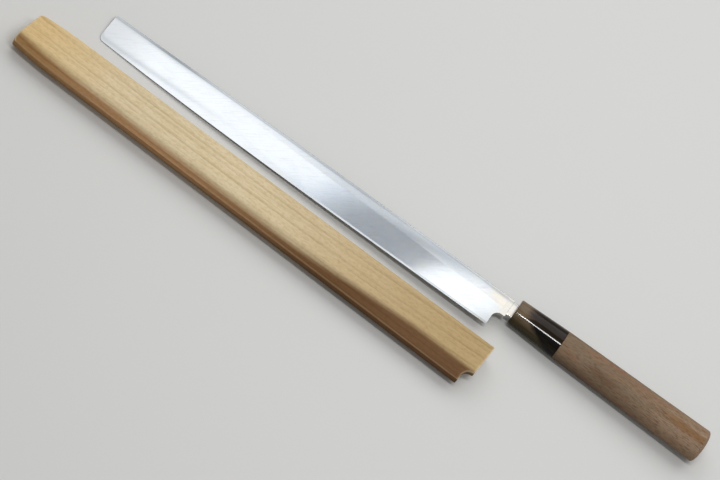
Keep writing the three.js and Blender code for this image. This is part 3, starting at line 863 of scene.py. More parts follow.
def stations(x, halves, on_grip=1.0):
    """Rows (x, a, b, p, lift) from matching arrays, or from single values that repeat; on_grip is 1 for
    the grip's oval, 0 for the tang's slot and between them on the ferrule's front."""
    x = np.atleast_1d(np.asarray(x, float))
    halves = np.broadcast_to(np.asarray(halves, float), (x.size, 2))
    share = np.broadcast_to(np.asarray(on_grip, float), x.size)
    return np.column_stack([x, halves, blend(SLOT_POWER, OVAL_POWER, share), GRIP_RISE * share])


def rings_of(rows):
    """Each row (x, a, b, p, lift) becomes a ring of SIDES points of the curve above, moved in y by lift
    and walked by its angle: y = a sign(cos) |cos|^(2/p), z = b sign(sin) |sin|^(2/p)."""
    x, a, b, power, lift = np.array(rows).T[..., None]
    angle = np.linspace(0, 2 * math.pi, SIDES, endpoint=False)[None, :]
    y = lift + a * np.sign(np.cos(angle)) * np.abs(np.cos(angle)) ** (2 / power)
    z = b * np.sign(np.sin(angle)) * np.abs(np.sin(angle)) ** (2 / power)
    return np.stack([np.broadcast_to(x, y.shape), y, z], -1)


print(f"grip swells from {2 * FRONT} to {2 * BUTT} mm, {SIDES} points a ring")

# %% [markdown]
# ## Ferrule
# The horn ferrule caps the handle's front: the tang passes its slot, and the handle's tenon fills its
# bore from behind. It is a looped sleeve: out along the slot, over the rounded rim, down the side and
# back through the bore, so wall and bore are one closed surface without a boolean.

# %% Ferrule
TENON_LENGTH, FERRULE_WALL, FERRULE_ROUND = 16.0, 1.3, 0.9
TANG_CLEARANCE, SLOT_FLARE, FIT_GAP, JOINT_EASE = 0.3, 0.15, 0.1, 0.18
SLOT_MIDDLE, SLOT_LIP = 8.0, 0.2
ROUND_RINGS, SIDE_RINGS, FACE_RINGS = 9, 20, 8

tenon_front = FERRULE_LENGTH - TENON_LENGTH
tenon_radius = oval_at(tenon_front)[1] - FERRULE_WALL
bore_end = tenon_front - FIT_GAP
quarter = np.linspace(0, math.pi / 2, ROUND_RINGS)
rim_x = FERRULE_ROUND * (1 - np.cos(quarter))
rim_halves = oval_at(rim_x) - (FERRULE_ROUND * (1 - np.sin(quarter)))[:, None]
side_x = np.linspace(FERRULE_ROUND, FERRULE_LENGTH - JOINT_EASE, SIDE_RINGS)[1:]
slot_mouth = tang_at(0.0, TANG_CLEARANCE + SLOT_FLARE)
slot_halves = tang_at([tenon_front, SLOT_MIDDLE, SLOT_LIP], TANG_CLEARANCE)
face_share = np.linspace(0, 1, FACE_RINGS)[1:-1]
face_halves = blend(slot_mouth, rim_halves[0], face_share[:, None])
ferrule_rings = np.concatenate([
    stations([bore_end, SLOT_MIDDLE, SLOT_LIP], slot_halves, on_grip=0.0),
    stations(0.0, slot_mouth, on_grip=0.0),
    stations(np.zeros(face_share.size), face_halves, on_grip=face_share),
    stations(rim_x, rim_halves),
    stations(side_x, oval_at(side_x)),
    stations(FERRULE_LENGTH, oval_at(FERRULE_LENGTH) - JOINT_EASE),
    stations([FERRULE_LENGTH, bore_end], tenon_radius + FIT_GAP),
])
ferrule = sleeve("horn_ferrule", rings_of(ferrule_rings), knife_to_row, looped=True)

# %% [markdown]
# ## Handle
# The handle starts at the pole of its domed butt, runs forward along the grip to the joint, steps in to
# the tenon and turns back inside along the socket for the tang. The dome is squarer than a ball: its
# section is a curve of power 2.4.

# %% Handle
BUTT_DOME, DOME_SQUARENESS = 3.2, 2.4
BEDDING, BEDDING_FLOOR = 0.6, 1.5
DOME_RINGS, GRIP_RINGS = 15, 40

dome_share = np.cos(np.linspace(1.0, 0.0, DOME_RINGS)[1:] * math.pi / 2)
dome_start = GRIP_LENGTH - BUTT_DOME
dome_x = dome_start + BUTT_DOME * (1 - dome_share**DOME_SQUARENESS) ** (1 / DOME_SQUARENESS)
joint_x = FERRULE_LENGTH + FIT_GAP
grip_x = np.linspace(dome_start, joint_x + JOINT_EASE, GRIP_RINGS)[1:]
socket_end = TANG_LENGTH + BEDDING_FLOOR
handle_rings = np.concatenate([
    stations(GRIP_LENGTH, 0.0),
    stations(dome_x, oval_at(dome_start) * dome_share[:, None]),
    stations(grip_x, oval_at(grip_x)),
    stations(joint_x, oval_at(joint_x) - JOINT_EASE),
    stations([joint_x, tenon_front], tenon_radius),
    stations([tenon_front, socket_end], tang_at([tenon_front, TANG_LENGTH], BEDDING), on_grip=0.0),
    stations(socket_end, 0.0, on_grip=0.0),
])
handle = sleeve("wooden_handle", rings_of(handle_rings), knife_to_row, looped=False)

# %% [markdown]
# ## Horn finish
# Water-buffalo horn is layered: pale brown at the front, grey-violet behind on the upper side and near
# black below, with olive layers that taper back along the lower side. The near black below the glint's
# line is partly painted shade. A fade along the grip parts front and back; its border slants back on the
# lower side and is bent by long noise. One smooth, clear gloss stands for the polish.

# %% Horn finish
HORN_TAN, HORN_BROWN, HORN_OLIVE = seen(108, 92, 73), seen(66, 50, 31), seen(42, 35, 13)
HORN_VIOLET, HORN_UMBER, HORN_BLACK_AND_SHADE = seen(45, 35, 33), seen(28, 20, 11), seen(8, 6, 3)
HORN_DRIFT, HORN_THREAD = (0.014, 0.004, 0.006), (0.020, 0.0009, 0.0012)
HORN_FRONT, BORDER_START, BORDER_SLANT, BORDER_DRIFT = 0.1010, 0.0022, 2.1, 0.012
BORDER_BLUR, UMBER_REACH = (-0.0030, 0.0050), (0.0, 0.012)
LOWER_SHADE_SIDE, OLIVE_SIDE = (-0.0008, 0.0010), (-0.0015, 0.0085)
SIDE_Y, SIDE_Z, SIDE_MIDDLE = -0.8, -0.6, 0.0286


def side_of_grip(finish):
    """Distance down the seen side, from the middle of the grip: -0.8 y - 0.6 z + a constant."""
    down = finish.scaled(finish.axis("Z"), SIDE_Z, SIDE_MIDDLE)
    return finish.scaled(finish.axis("Y"), SIDE_Y, down)


horn = Finish("buffalo_horn")
drift = horn.noise(HORN_DRIFT, seed=4.3, detail=3.0, roughness=0.6, distortion=0.5)
threads = horn.noise(HORN_THREAD, seed=8.0, detail=3.0, distortion=0.3)
side = side_of_grip(horn)
border = horn.scaled(horn.math("MAXIMUM", side, 0.0), BORDER_SLANT, BORDER_START)
border = horn.scaled(drift, BORDER_DRIFT, border)
past = horn.math("SUBTRACT", horn.math("SUBTRACT", horn.axis("X"), HORN_FRONT), border)
back_tone = horn.mix(horn.fade(past, *UMBER_REACH), HORN_VIOLET, HORN_UMBER)
# near black below the glint's line: horn colour and painted shade
back_tone = horn.mix(horn.fade(side, *LOWER_SHADE_SIDE), back_tone, HORN_BLACK_AND_SHADE)
back_tone = horn.mix(horn.fade(threads, 0.48, 0.72, high=0.25), back_tone, HORN_BROWN)
front_tone = horn.mix(horn.fade(side, *OLIVE_SIDE), HORN_TAN, HORN_OLIVE)
front_tone = horn.mix(horn.fade(threads, 0.46, 0.70, high=0.5), front_tone, HORN_OLIVE)
tone = horn.mix(horn.fade(past, *BORDER_BLUR), front_tone, back_tone)
relief = horn.bump(threads, depth=0.000004, strength=0.04)
horn.set(Base_Color=tone, Roughness=0.10, Specular_IOR_Level=0.15, Normal=relief)
dress(ferrule, horn, "ferrule", "knife")

# %% [markdown]
# ## Wood of the grip
# The grip is plain magnolia, darkened and greyed by hands: pinkish tan with broad grey bands, and short
# dark pores along the length. A picture of wood would stretch over the oval and show its border at the
# butt, so bands, pores and fibres are noises stretched along the grip, each to its own length.

# %% Wood of the grip
GRIP_TAN, GRIP_PINK, GRIP_GREY = seen(130, 109, 86), seen(133, 104, 82), seen(124, 107, 88)
GRIP_PORE_AND_SHADE, GRIP_SMUDGE, GRIP_HEART = seen(72, 54, 38), seen(100, 75, 52), seen(130, 92, 52)
GRIP_WORN = seen(156, 131, 108)
BROAD_GRAIN, WARM_GRAIN = (0.050, 0.006, 0.006), (0.018, 0.005, 0.006)
PORE, FIBRE = (0.0040, 0.00040, 0.00040), (0.012, 0.00030, 0.00030)

grip = Finish("worn_magnolia")
broad = grip.noise(BROAD_GRAIN, seed=1.5, detail=3.0)
warm = grip.noise(WARM_GRAIN, seed=7.5, detail=3.0, roughness=0.6)
pores = grip.noise(PORE, seed=2.5, detail=3.0, roughness=0.6)
fibres = grip.noise(FIBRE, seed=5.5, detail=2.0)
reach, side = grip.axis("X"), side_of_grip(grip)
tone = grip.mix(grip.fade(broad, 0.36, 0.64), GRIP_TAN, GRIP_GREY)
tone = grip.mix(grip.fade(warm, 0.42, 0.68, high=0.9), tone, GRIP_PINK)
print("plain wood of the grip mixed")

# %% [markdown]
# ## Marks on the grip
# Use has left a brown smudge near the ferrule and a paler end. The lower side is darkened as painted
# shade, most near the ferrule. Towards the butt a brown heartwood stripe lies between a pale line and a
# pale stretch. Each mark is a smooth patch along and across the grip, and the wood's own noises bend the
# heartwood, so that no border looks ruled. Pores and fibres go over all of it. The wood is unvarnished,
# so it stays matte.

# %% Marks on the grip
SMUDGE_REACH, SMUDGE_SIDE = (0.155, 0.166, 0.170, 0.192), (-0.004, 0.0, 0.002, 0.0055)
WORN_REACH, WORN_BUTT = (0.175, 0.240), (0.2425, 0.2450)
WAVE_ALONG, WAVE_ACROSS = 0.02, 0.0024
HEART_REACH, STRETCH_REACH = (0.214, 0.236), (0.206, 0.228)
HEART_SIDE, PALE_LINE = (-0.0086, -0.0066, -0.0038, -0.0018), (-0.0098, -0.0090, -0.0084, -0.0076)
PALE_STRETCH = (-0.0030, -0.0012, 0.0028, 0.0066)
SHADED_SIDE, SHADED_REACH = (0.002, 0.011), (0.15, 0.22)

smudge = grip.times(grip.patch(reach, *SMUDGE_REACH), grip.patch(side, *SMUDGE_SIDE))
smudge = grip.times(smudge, grip.fade(warm, 0.25, 0.6, 0.2, 0.6))
tone = grip.mix(smudge, tone, GRIP_SMUDGE)
tone = grip.mix(grip.fade(reach, *WORN_REACH, high=0.35), tone, GRIP_WORN)

wavy_reach = grip.scaled(broad, WAVE_ALONG, reach)
wavy_side = grip.scaled(warm, WAVE_ACROSS, grip.math("SUBTRACT", side, WAVE_ACROSS / 2))
heart_marks = (
    (GRIP_HEART, 0.70, HEART_SIDE, HEART_REACH),
    (GRIP_WORN, 0.60, PALE_LINE, HEART_REACH),
    (GRIP_WORN, 0.55, PALE_STRETCH, STRETCH_REACH),
)
for colour, share, on_side, on_length in heart_marks:
    mark = grip.times(grip.patch(wavy_side, *on_side), grip.fade(wavy_reach, *on_length))
    tone = grip.mix(grip.times(mark, share), tone, colour)

tone = grip.mix(grip.fade(reach, *WORN_BUTT, high=0.8), tone, GRIP_WORN)
# painted shade on the lower side, strongest near the ferrule
shaded = grip.fade(side, *SHADED_SIDE, high=0.72)
tone = grip.mix(grip.times(shaded, grip.fade(reach, *SHADED_REACH, 1.0, 0.4)), tone, GRIP_PORE_AND_SHADE)
tone = grip.mix(grip.fade(pores, 0.48, 0.64, high=0.62), tone, GRIP_PORE_AND_SHADE)
tone = grip.mix(grip.fade(fibres, 0.48, 0.78, high=0.30), tone, GRIP_PORE_AND_SHADE)
relief = grip.bump(pores, depth=0.00008, strength=0.35)
relief = grip.bump(fibres, depth=0.00004, strength=0.30, under=relief)
roughness = grip.scaled(pores, 0.2, 0.58)
grip.set(Base_Color=tone, Roughness=roughness, Normal=relief, Specular_IOR_Level=0.12)
dress(handle, grip, "handle", "knife")

# %% [markdown]
# ## Bedding
# Resin fills the socket round the tang. It is shut inside the handle, so its solid from the packed
# part stays as it is and only gets a dark, slightly glossy finish with a little cloudiness.

# %% Bedding
RESIN_DARK, RESIN_LIGHT = seen(58, 40, 20), seen(92, 66, 34)
RESIN_CLOUD = (0.004, 0.003, 0.003)

resin = Finish("tang_resin")
cloud = resin.noise(RESIN_CLOUD, seed=1.0, detail=3.0)
resin.set(Base_Color=resin.mix(cloud, RESIN_DARK, RESIN_LIGHT), Roughness=0.45)
bedding = frame["nodes"]["tang_bedding"]
bedding.data.materials.clear()
bedding.data.materials.append(resin.material)
print("bedding keeps its solid")

# %% [markdown]
# ## Scabbard outline
# The saya is three layers of magnolia: two face boards and a forked spacer that leaves the slot. In
# plan it tapers to the closed end, which is cut aslant with round corners; the mouth has a coved notch
# on the edge side, where a thumb pushes, and the notch is wider in the lower board. Its width follows
# from the blade's: the slot has to let the tallest part pass.

# %% Scabbard outline
MOUTH_WALL, END_WALL, FACE_WALL, SPACER = 3.1, 3.55, 5.45, 4.6
SLOT_CLEARANCE, TIP_CLEARANCE, END_BLOCK, SEAT_GAP = 0.7, 6.0, 34.3, 0.5
MOUTH_SLANT, NOTCH_DEPTH, NOTCH_COVE = 2.25, 7.9, 6.0
NOTCH_WIDTH, LOWER_NOTCH_WIDTH = 8.6, 17.0
END_SLANT, END_SWEEP, END_INSET = 4.0, 35.0, 2.0
BACK_CORNER_LENGTH, BACK_CORNER_HEIGHT, EDGE_CORNER = 5.4, 3.1, 2.1
PASSING_STEPS = 25

THICK = SPACER + 2 * FACE_WALL
LOWER_SEAM, UPPER_SEAM = FACE_WALL, FACE_WALL + SPACER
SLOT_END = TIP_X + SEAT_GAP - TIP_CLEARANCE
CLOSED_X = SLOT_END - END_BLOCK
SAYA_LENGTH = -CLOSED_X


def slot_half(x):
    """Half of the tallest blade that passes this point on its way in, plus the clearance."""
    passing = blend(np.asarray(x, float)[..., None] - SEAT_GAP, TIP_X, np.linspace(0, 1, PASSING_STEPS))
    return height_at(passing).max(axis=-1) / 2 + SLOT_CLEARANCE


def saya_half(x):
    """Half of the scabbard's height: a straight taper that curves in over the last stretch."""
    taper = blend(slot_half(0.0) + MOUTH_WALL, slot_half(SLOT_END) + END_WALL, x / SLOT_END)
    return taper - END_INSET * np.clip((CLOSED_X + END_SWEEP - x) / END_SWEEP, 0.0, 1.0) ** 2


MOUTH_HALF, END_HALF = float(saya_half(0.0)), float(saya_half(CLOSED_X))


def mouth_at(y, notch_width=NOTCH_WIDTH):
    """The mouth's x: a slanted line, cut back on the edge side by the notch with its round corner."""
    slanted = -MOUTH_SLANT * (MOUTH_HALF - y) / (2 * MOUTH_HALF)
    past = np.clip(notch_width - MOUTH_HALF - y, 0.0, None)
    coved = -NOTCH_DEPTH + round_off(past, NOTCH_COVE)
    return np.where(past > 0, np.minimum(coved, slanted), slanted)


def closed_at(y):
    """The closed end's x: a slanted line with a quarter of an ellipse at the back's corner and a small
    quarter-round at the edge's."""
    slanted = CLOSED_X + END_SLANT * (y + END_HALF) / (2 * END_HALF)
    back_corner = round_off(END_HALF - y, BACK_CORNER_HEIGHT) * BACK_CORNER_LENGTH / BACK_CORNER_HEIGHT
    return slanted + back_corner + round_off(END_HALF + y, EDGE_CORNER)


saya_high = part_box("saya_ura_board")[1]
saya_zero = np.array([saya_high.x, saya_high.y - MOUTH_HALF * MM, 0.0])


def saya_to_row(points):
    """Millimetres from the middle of the mouth, scaled and moved to the row's frame."""
    return points * MM + saya_zero


print(f"saya {SAYA_LENGTH:.1f} mm long, {2 * MOUTH_HALF:.1f} mm high at the mouth, {THICK:.1f} mm thick")

# %% [markdown]
# ## Facets
# The edge side is planed to facets. The crease above the facet is crisp at the mouth, rubbed round
# along the middle and crisper again at the closed end. A Bevel modifier has one width for a whole edge,
# so the crease is an arc whose radius and place change along the length.

# %% Facets
FACET_DROP, FLANK_ROUND, BACK_ROUND, END_EASE = 5.7, 1.0, 3.0, 0.7
CREASE_AT, CREASE_ROUND = (9.8, 5.7), (5.0, 9.5)
MOUTH_STRETCH = (-35.0, -150.0)
CRISP_END, CRISP_STRETCH = 0.75, (-290.0, -350.0)
RUN_GAIN, RUN_STRETCH = 0.35, (-240.0, -290.0)


def from_mouth(x):
    """0 at the mouth, 1 along the middle and at the closed end."""
    return rise(x, *MOUTH_STRETCH)


def worn_at(x):
    """How far the crease is rubbed round: 0 at the mouth, 1 along the middle, 0.25 at the closed end."""
    return from_mouth(x) * (1 - CRISP_END * rise(x, *CRISP_STRETCH))


def crease_at(x):
    """Run of the facet, radius and slope of the arc that meets the flat, and how far the arc reaches."""
    run = blend(*CREASE_AT, from_mouth(x)) + RUN_GAIN * rise(x, *RUN_STRETCH)
    radius = blend(*CREASE_ROUND, worn_at(x))
    slope = np.arctan2(FACET_DROP, run)
    return run, radius, slope, radius * np.tan(slope / 2)


def outside_height(x, y, from_end):
    """The upper outside over the plan: flat, with a quarter-round at the back, a facet at the edge side
    that meets the flat in an arc, a small round above the flank, and an eased rim at both ends."""
    from_edge, from_back = saya_half(x) + y, saya_half(x) - y
    run, radius, slope, reach = crease_at(x)
    facet = THICK - FACET_DROP + FACET_DROP * from_edge / run
    into = np.clip(run + reach - from_edge, 0.0, radius * np.sin(slope))
    arc = THICK - radius + np.sqrt(radius**2 - into**2)
    height = np.where(from_edge < run - reach * np.cos(slope), facet, arc)
    flank_reach = FLANK_ROUND * np.tan((math.pi / 2 - slope) / 2)
    into_flank = np.clip(FLANK_ROUND - from_edge, 0.0, FLANK_ROUND)
    flank_arc = THICK - FACET_DROP - flank_reach + np.sqrt(FLANK_ROUND**2 - into_flank**2)
    height = np.where(from_edge < flank_reach * np.cos(slope), flank_arc, height)
    return height - round_off(from_back, BACK_ROUND) - round_off(from_end, END_EASE)


print(f"crease {CREASE_AT[0]} mm from the edge at the mouth, {CREASE_AT[1]} mm along the middle")

# %% [markdown]
# ## Wear, painted shade and highlights
# Hands colour the places that they round: the facet darkens. Painted shade darkens the flank and lays a
# dark line above the flank's rim, and painted highlights lie along that worn rim and both worn ends. Edge
# wear can be had from a Geometry node's pointiness, but that depends on the mesh. These marks are painted
# from the measures that shape the facet, so that colour and form can't drift apart.

# %% Wear, painted shade and highlights
TURN_START, TURN_LENGTH = (0.2, 0.6), (1.3, 0.65)
FLANK_TOP, FLANK_LIGHTER, LIGHTER_STRETCH = (0.42, 0.07), 0.2, (-295.0, -330.0)
RIM_LINE, RIM_BREADTH = 0.55, 0.4
DARK_LINE, DARK_BREADTH = 1.6, 0.6
DARK_LINE_STEPS = ((0.6, -180.0, -280.0), (0.9, -285.0, -325.0))
END_BREADTH, END_FACET_DIMMING = 0.65, 0.6


def wear_and_light_paints(x, y, from_end):
    """Painted values: the facet, growing with the turn of the arc above it; painted shade on the flank
    below it; a painted highlight on the worn rim at the flank's top; a painted shade line a little above
    that rim;
    and painted highlights on the worn rims of both ends, weaker on the mouth's facet."""
    from_edge = saya_half(x) + y
    run, radius, slope, reach = crease_at(x)
    turned = (run + reach - from_edge) / (radius * np.sin(slope))
    start = blend(*TURN_START, from_mouth(x))
    facet = rise(turned, start, start + blend(*TURN_LENGTH, from_mouth(x)))
    dark_line = DARK_LINE + sum(gain * rise(x, *stretch) for gain, *stretch in DARK_LINE_STEPS)
    # flank and crease: painted shade; rim and ends: painted highlights on worn edges
    return {
        "facet": facet,
        "flank": rise(from_edge, *FLANK_TOP) * (1 - FLANK_LIGHTER * rise(x, *LIGHTER_STRETCH)),
        "rim": bell(from_edge - RIM_LINE, RIM_BREADTH),
        "crease": bell(from_edge - dark_line, DARK_BREADTH) * from_mouth(x),
        "ends": bell(from_end, END_BREADTH) * (1 - END_FACET_DIMMING * facet * (1 - from_mouth(x))),
    }


print("wear follows", FACET_DROP, "mm high facets")

# %% [markdown]
# ## Plan grid of a board
# Both face boards share one plan grid: shares along the length, packed at the ends, and shares across,
# packed at the facet. A cube with bevelled edges would need as many cuts, and it would have to be bent
# to the taper and the slanted ends afterwards.

# %% Plan grid of a board
END_STEPS = np.array([0.0, 0.06, 0.16, 0.3, 0.5, 0.75, 1.2, 2.0, 3.5, 6.0])
MIDDLE_START, MIDDLE_STEPS = 10.0, 110
STEP_SPAN = 34.0
RIM_STEPS = np.array([0.0, 0.1, 0.22, 0.4, 0.65, 1.0, 1.4, 1.9])
FACET_STEPS, TOP_STEPS = np.arange(2.5, 14.0, 0.3), np.linspace(14.0, 30.0, 24)[1:-1]
BACK_STEPS = STEP_SPAN - np.array([3.2, 2.8, 2.4, 2.0, 1.6, 1.2, 0.9, 0.6, 0.4, 0.2, 0.1, 0.0])

middle_steps = np.linspace(MIDDLE_START, SAYA_LENGTH - MIDDLE_START, MIDDLE_STEPS)
lengthwise = np.concatenate([END_STEPS, middle_steps, SAYA_LENGTH - END_STEPS[::-1]]) / SAYA_LENGTH
crosswise = np.concatenate([RIM_STEPS, FACET_STEPS, TOP_STEPS, BACK_STEPS]) / STEP_SPAN


def board_plan(inset, notch_width):
    """x and y of the plan grid; each line across runs from the closed end's outline to the mouth's,
    and the edge side stands back by inset, where the layer's face meets the outside."""
    side = blend(-1.0, 1.0, crosswise)[None, :]
    share = lengthwise[:, None]
    x = blend(closed_at(side * END_HALF), mouth_at(side * MOUTH_HALF, notch_width), share)
    half = saya_half(x)
    y = blend(inset - half, half, crosswise[None, :])
    from_end = np.broadcast_to(np.minimum(share, 1 - share) * SAYA_LENGTH, x.shape)
    return x, y, from_end


print(f"{lengthwise.size} by {crosswise.size} points a board")

# %% [markdown]
# ## Face boards
# The two boards close the slot from above and below. But for its wider notch, the lower one is the upper
# one's mirror image in height, so one height function serves both and no Mirror modifier is needed. The
# mouth's wall gets painted shade: it is marked on the sheet at the seam, so the wall darkens towards the
# slot.

# %% Face boards
BOARD_INSET, GLUE_GAP, BOARD_LEAST, WALL_SHADE_BREADTH = 0.36, 0.04, 0.02, 0.2

# painted shade on the mouth's wall, marked on the sheet at the seam
mouth_wall_shade = bell((1 - lengthwise[:, None]) * SAYA_LENGTH, WALL_SHADE_BREADTH) * np.ones(crosswise.size)
clean = np.zeros_like(mouth_wall_shade)
upper_plan = board_plan(BOARD_INSET, NOTCH_WIDTH)
upper_x, upper_y = upper_plan[:2]
upper_seam = np.full_like(upper_x, UPPER_SEAM + GLUE_GAP)
upper_top = np.maximum(outside_height(*upper_plan), upper_seam + BOARD_LEAST)
upper_board = slab("saya_upper_board", upper_x, upper_y, upper_top, upper_seam, saya_to_row,
                   cut=[clean, mouth_wall_shade], **wear_and_light_paints(*upper_plan))
lower_plan = board_plan(BOARD_INSET, LOWER_NOTCH_WIDTH)
lower_x, lower_y = lower_plan[:2]
lower_seam = np.full_like(lower_x, LOWER_SEAM)
lower_bottom = np.minimum(THICK - outside_height(*lower_plan), lower_seam - BOARD_LEAST)
lower_board = slab("saya_lower_board", lower_x, lower_y, lower_seam, lower_bottom, saya_to_row,
                   cut=[mouth_wall_shade, clean], **wear_and_light_paints(*lower_plan))

# %% [markdown]
# ## Rails of the fork
# The spacer is a fork: a strip that runs down one prong, round the closed end and back up the other
# prong. Its outer rail follows the scabbard's outline and its inner rail the slot. A board with the slot
# cut out by a boolean would be the joiner's way; two rails with as many points each need no cut.

# %% Rails of the fork
PRONG_STEPS, PRONG_REST, PRONG_COUNT = [0.0, 0.3, 1.0, 2.0, 3.5, 5.0], 8.0, 60
PRONG_MIDDLE = 1.3
TURN_ROWS, SIDE_ROWS = 42, 16
STRIP_SHARES = np.array([0.0, 0.025, 0.06, 0.11, 0.18, 0.35, 0.6, 0.85, 1.0])

prong_steps = np.concatenate([PRONG_STEPS, np.linspace(PRONG_REST, -SLOT_END, PRONG_COUNT)])
prong = prong_steps / -SLOT_END
edge_x = blend(mouth_at(np.array(-MOUTH_HALF)), SLOT_END, prong)
back_x = blend(mouth_at(np.array(MOUTH_HALF - PRONG_MIDDLE)), SLOT_END, prong)[::-1]
turn_y = END_HALF * np.sin(np.linspace(-math.pi / 2, math.pi / 2, TURN_ROWS))[1:-1]
turn_x = closed_at(turn_y)
low_side = np.linspace(SLOT_END, closed_at(np.array(-END_HALF)), SIDE_ROWS)[1:]
high_side = np.linspace(closed_at(np.array(END_HALF)), SLOT_END, SIDE_ROWS)[:-1]
outer_x = np.concatenate([edge_x, low_side, turn_x, high_side, back_x])
outer_y = np.concatenate([
    -saya_half(edge_x), -saya_half(low_side), turn_y * saya_half(turn_x) / END_HALF,
    saya_half(high_side), saya_half(back_x)])
slot_turn = np.linspace(-1, 1, low_side.size + turn_y.size + high_side.size + 2)[1:-1]
inner_x = np.concatenate([edge_x, np.full(slot_turn.size, SLOT_END), back_x])
inner_y = np.concatenate([-slot_half(edge_x), slot_turn * slot_half(SLOT_END), slot_half(back_x)])
print(f"rails of {outer_x.size} points, slot {2 * slot_half(0.0):.1f} mm high at the mouth")

# %% [markdown]
# ## Spacer
# The spacer shows as a thin layer in the flank, the back and the mouth. Its plan grid is ruled between
# the two rails, and it fills the room between the boards, less what the facets take off its rim. The
# flank's painted shade deepens downwards, so the upper sheet carries only half of it. Three loose boxes
# would be quicker to make, but their ends would not meet in one round outline.

# %% Spacer
FAR_FROM_ENDS, UPPER_FLANK = 9.0, 0.5

strip_x = blend(outer_x[:, None], inner_x[:, None], STRIP_SHARES[None, :])
strip_y = blend(outer_y[:, None], inner_y[:, None], STRIP_SHARES[None, :])
strip_plan = strip_x, strip_y, np.full_like(strip_x, FAR_FROM_ENDS)
strip_outside = outside_height(*strip_plan)
strip_top = np.minimum(UPPER_SEAM, strip_outside)
strip_bottom = np.maximum(LOWER_SEAM + GLUE_GAP, THICK - strip_outside)
strip_paints = wear_and_light_paints(*strip_plan)
strip_paints["flank"] = [UPPER_FLANK * strip_paints["flank"], strip_paints["flank"]]
spacer = slab("saya_spacer_fork", strip_x, strip_y, strip_top, strip_bottom, saya_to_row, **strip_paints)

# %% [markdown]
# ## Scabbard colours
# Magnolia is pale and straight-grained. Oil from hands has turned the facets brown, darkest at the mouth,
# the closed end orange and the mouth a shade darker. Woods, patina and painted highlights are colours to
# mix. Late wood, fibres, dirt and painted shade are factors that multiply what lies under them, so that
# the grain still shows through.

# %% Scabbard colours
HO_PALE, HO_CREAM, HO_WORN_HIGHLIGHT = seen(212, 194, 158), seen(219, 202, 168), seen(226, 206, 168)
HO_MOUTH, HO_ORANGE = seen(182, 157, 114), seen(215, 187, 137)
HO_HAND, HO_AMBER, HO_TAWNY = seen(113, 80, 47), seen(176, 136, 96), seen(161, 124, 80)
LINE_DEEP, FIBRE_DEEP, STREAK_AND_SHADE_DEEP = (0.74, 0.72, 0.66), (0.80, 0.75, 0.67), (0.62, 0.52, 0.44)
FLANK_SHADE_DEEP, WALL_SHADE_DEEP = (0.52, 0.50, 0.45), (0.24, 0.22, 0.20)
SOILED_MOUTH, ORANGE_END = (-0.10, 0.105), (-0.235, -0.15)
SOILED_FACET, TAWNY_END = (-0.140, 0.02), (-0.225, -0.165)
CLOUD_SHIFT = 0.02
print("light end", [round(v, 2) for v in HO_CREAM], "handled facet", [round(v, 2) for v in HO_HAND])

# %% [markdown]
# ## Growth lines
# Growth lines run the whole length of the board in a slight bow, 9.4 mm apart, with a weaker one between.
# A Wave texture makes even stripes. Here a line starts where one coordinate across the board, bent by
# slow noise, passes a whole number, and it fades slowly on one side as late wood does.

# %% Growth lines
LINE_SPACING, LINE_PHASE, SECOND_PHASE, SECOND_SHARE = 0.0094, 20.787, 0.362, 0.5
BOW_MIDDLE, BOW_REACH, BOW_RISE = -0.105, 0.170, 0.0044
SWAY, SWAY_SHIFT, UNEVEN = (0.16, 0.05, 0.03), 0.002, (0.09, 0.009, 0.02)
LATE_WOOD, SHARP_SIDE = 0.33, 0.05


def growth_lines(wood, seed):
    """How far each point lies in a growth line: (y - bow + sway) / spacing has a whole number at the
    line's sharp side, from where it fades slowly towards the back. Slow noise makes it uneven."""
    sway = wood.noise(SWAY, seed=seed + 0.4, detail=1.0)
    bowed = wood.scaled(wood.axis("X"), 1 / BOW_REACH, -BOW_MIDDLE / BOW_REACH)
    bowed = wood.scaled(wood.times(bowed, bowed), -BOW_RISE, wood.axis("Y"))
    lane = wood.scaled(sway, SWAY_SHIFT, bowed)

    def line(phase):
        ring = wood.math("FRACT", wood.scaled(lane, 1 / LINE_SPACING, phase + seed))
        return wood.patch(ring, 0.0, SHARP_SIDE, SHARP_SIDE, LATE_WOOD)

    both = wood.scaled(line(LINE_PHASE + SECOND_PHASE), SECOND_SHARE, line(LINE_PHASE))
    uneven = wood.noise(UNEVEN, seed=seed + 3.0, detail=2.0)
    return wood.times(both, wood.fade(uneven, 0.36, 0.62, 0.35, 0.75))


print(f"growth lines {LINE_SPACING / MM:.1f} mm apart")

# %% [markdown]
# ## Scabbard finish
# The finish lays patina, growth lines, handled facets, painted highlights on worn rims, dirt and painted
# shade over the clean wood, and the fibres over all of it. One material could serve the three layers, but
# then the same lines would run through all of them; each layer was its own board, so each gets its own
# seed.

# %% Scabbard finish
FINE_GRAIN, HO_FIBRE = (0.16, 0.0013, 0.0013), (0.010, 0.00036, 0.00036)
SPECKLE, HO_CLOUD = (0.0026, 0.0010, 0.0010), (0.030, 0.010, 0.012)


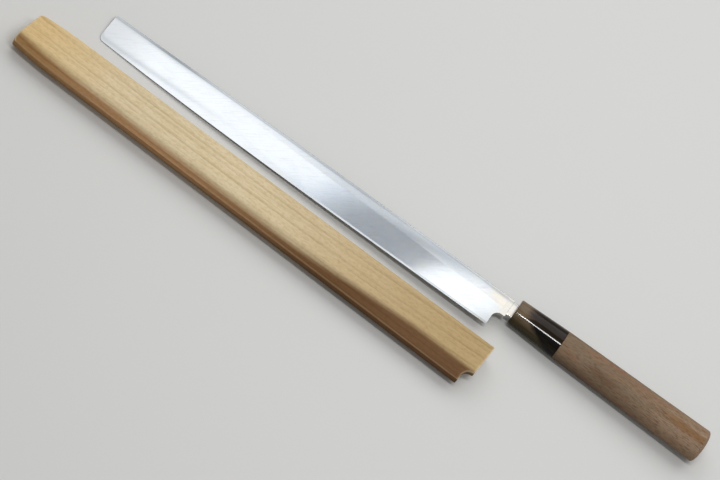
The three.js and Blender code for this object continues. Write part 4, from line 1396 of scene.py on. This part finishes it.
def scabbard_finish(name, seed):
    """Magnolia: pale clouds, growth lines, patina along the length, handled facets, painted highlights on
    worn rims, painted shade on the flank and the mouth's wall, a darker mouth, and last the fibres and
    speckles that cover all of it."""
    wood = Finish(name)
    fine = wood.noise(FINE_GRAIN, seed=seed + 5.0, detail=3.0, roughness=0.6)
    fibres = wood.noise(HO_FIBRE, seed=seed + 7.0, detail=3.0, roughness=0.6)
    speckle = wood.noise(SPECKLE, seed=seed + 8.0, detail=3.0, roughness=0.6)
    cloud = wood.noise(HO_CLOUD, seed=seed + 9.0, detail=3.0)
    drifting = wood.scaled(cloud, CLOUD_SHIFT, wood.axis("X"))
    tone = wood.mix(wood.fade(cloud, 0.35, 0.65), HO_PALE, HO_CREAM)
    tone = wood.mix(wood.fade(drifting, *SOILED_MOUTH), tone, HO_MOUTH)
    tone = wood.mix(wood.fade(drifting, *ORANGE_END, 1.0, 0.0), tone, HO_ORANGE)
    tone = wood.deepen(tone, growth_lines(wood, seed), LINE_DEEP)
    tone = wood.deepen(tone, wood.fade(fine, 0.46, 0.70, high=0.30), FIBRE_DEEP)
    facet = wood.painted("facet")
    handled = wood.mix(wood.fade(drifting, *SOILED_FACET), HO_AMBER, HO_HAND)
    handled = wood.mix(wood.fade(drifting, *TAWNY_END, 0.85, 0.0), handled, HO_TAWNY)
    tone = wood.mix(facet, tone, handled)
    tone = wood.deepen(tone, wood.times(wood.fade(fine, 0.48, 0.62, high=0.42), facet), STREAK_AND_SHADE_DEEP)
    # a painted shade line above the flank's rim
    tone = wood.deepen(tone, wood.times(wood.painted("crease"), 0.35), STREAK_AND_SHADE_DEEP)
    # painted highlights along the worn rim above the flank and along the worn ends
    for worn_highlight, share in (("rim", 0.11), ("ends", 0.85)):
        tone = wood.mix(wood.times(wood.painted(worn_highlight), share), tone, HO_WORN_HIGHLIGHT)
    # painted shade on the flank, deeper downwards
    tone = wood.deepen(tone, wood.painted("flank"), FLANK_SHADE_DEEP)
    # painted shade on the mouth's wall
    tone = wood.deepen(tone, wood.fade(wood.painted("cut"), 0.1, 0.45), WALL_SHADE_DEEP)
    tone = wood.deepen(tone, wood.fade(fibres, 0.46, 0.76, high=0.55), FIBRE_DEEP)
    tone = wood.deepen(tone, wood.fade(speckle, 0.44, 0.66, high=0.55), FIBRE_DEEP)
    relief = wood.bump(fibres, depth=0.00004, strength=0.30)
    relief = wood.bump(fine, depth=0.00008, strength=0.20, under=relief)
    roughness = wood.scaled(fibres, 0.18, 0.48)
    wood.set(Base_Color=tone, Roughness=roughness, Normal=relief, Specular_IOR_Level=0.12)
    return wood


for board, node, seed in ((upper_board, "saya_ura_board", 0.0), (spacer, "saya_spacer", 2.3),
                          (lower_board, "saya_omote_board", 5.1)):
    dress(board, scabbard_finish(f"magnolia_{board.name}", seed), node, "saya")

# %% [markdown]
# ## Size
# The dressed model must fill the same box as the solids, so both boxes are printed.

# %% Size
bpy.context.view_layer.update()
visual_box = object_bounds()
for label, box in (("cad", cad_box), ("visual", visual_box)):
    print(label, "box", [[round(v, 4) for v in corner] for corner in box])
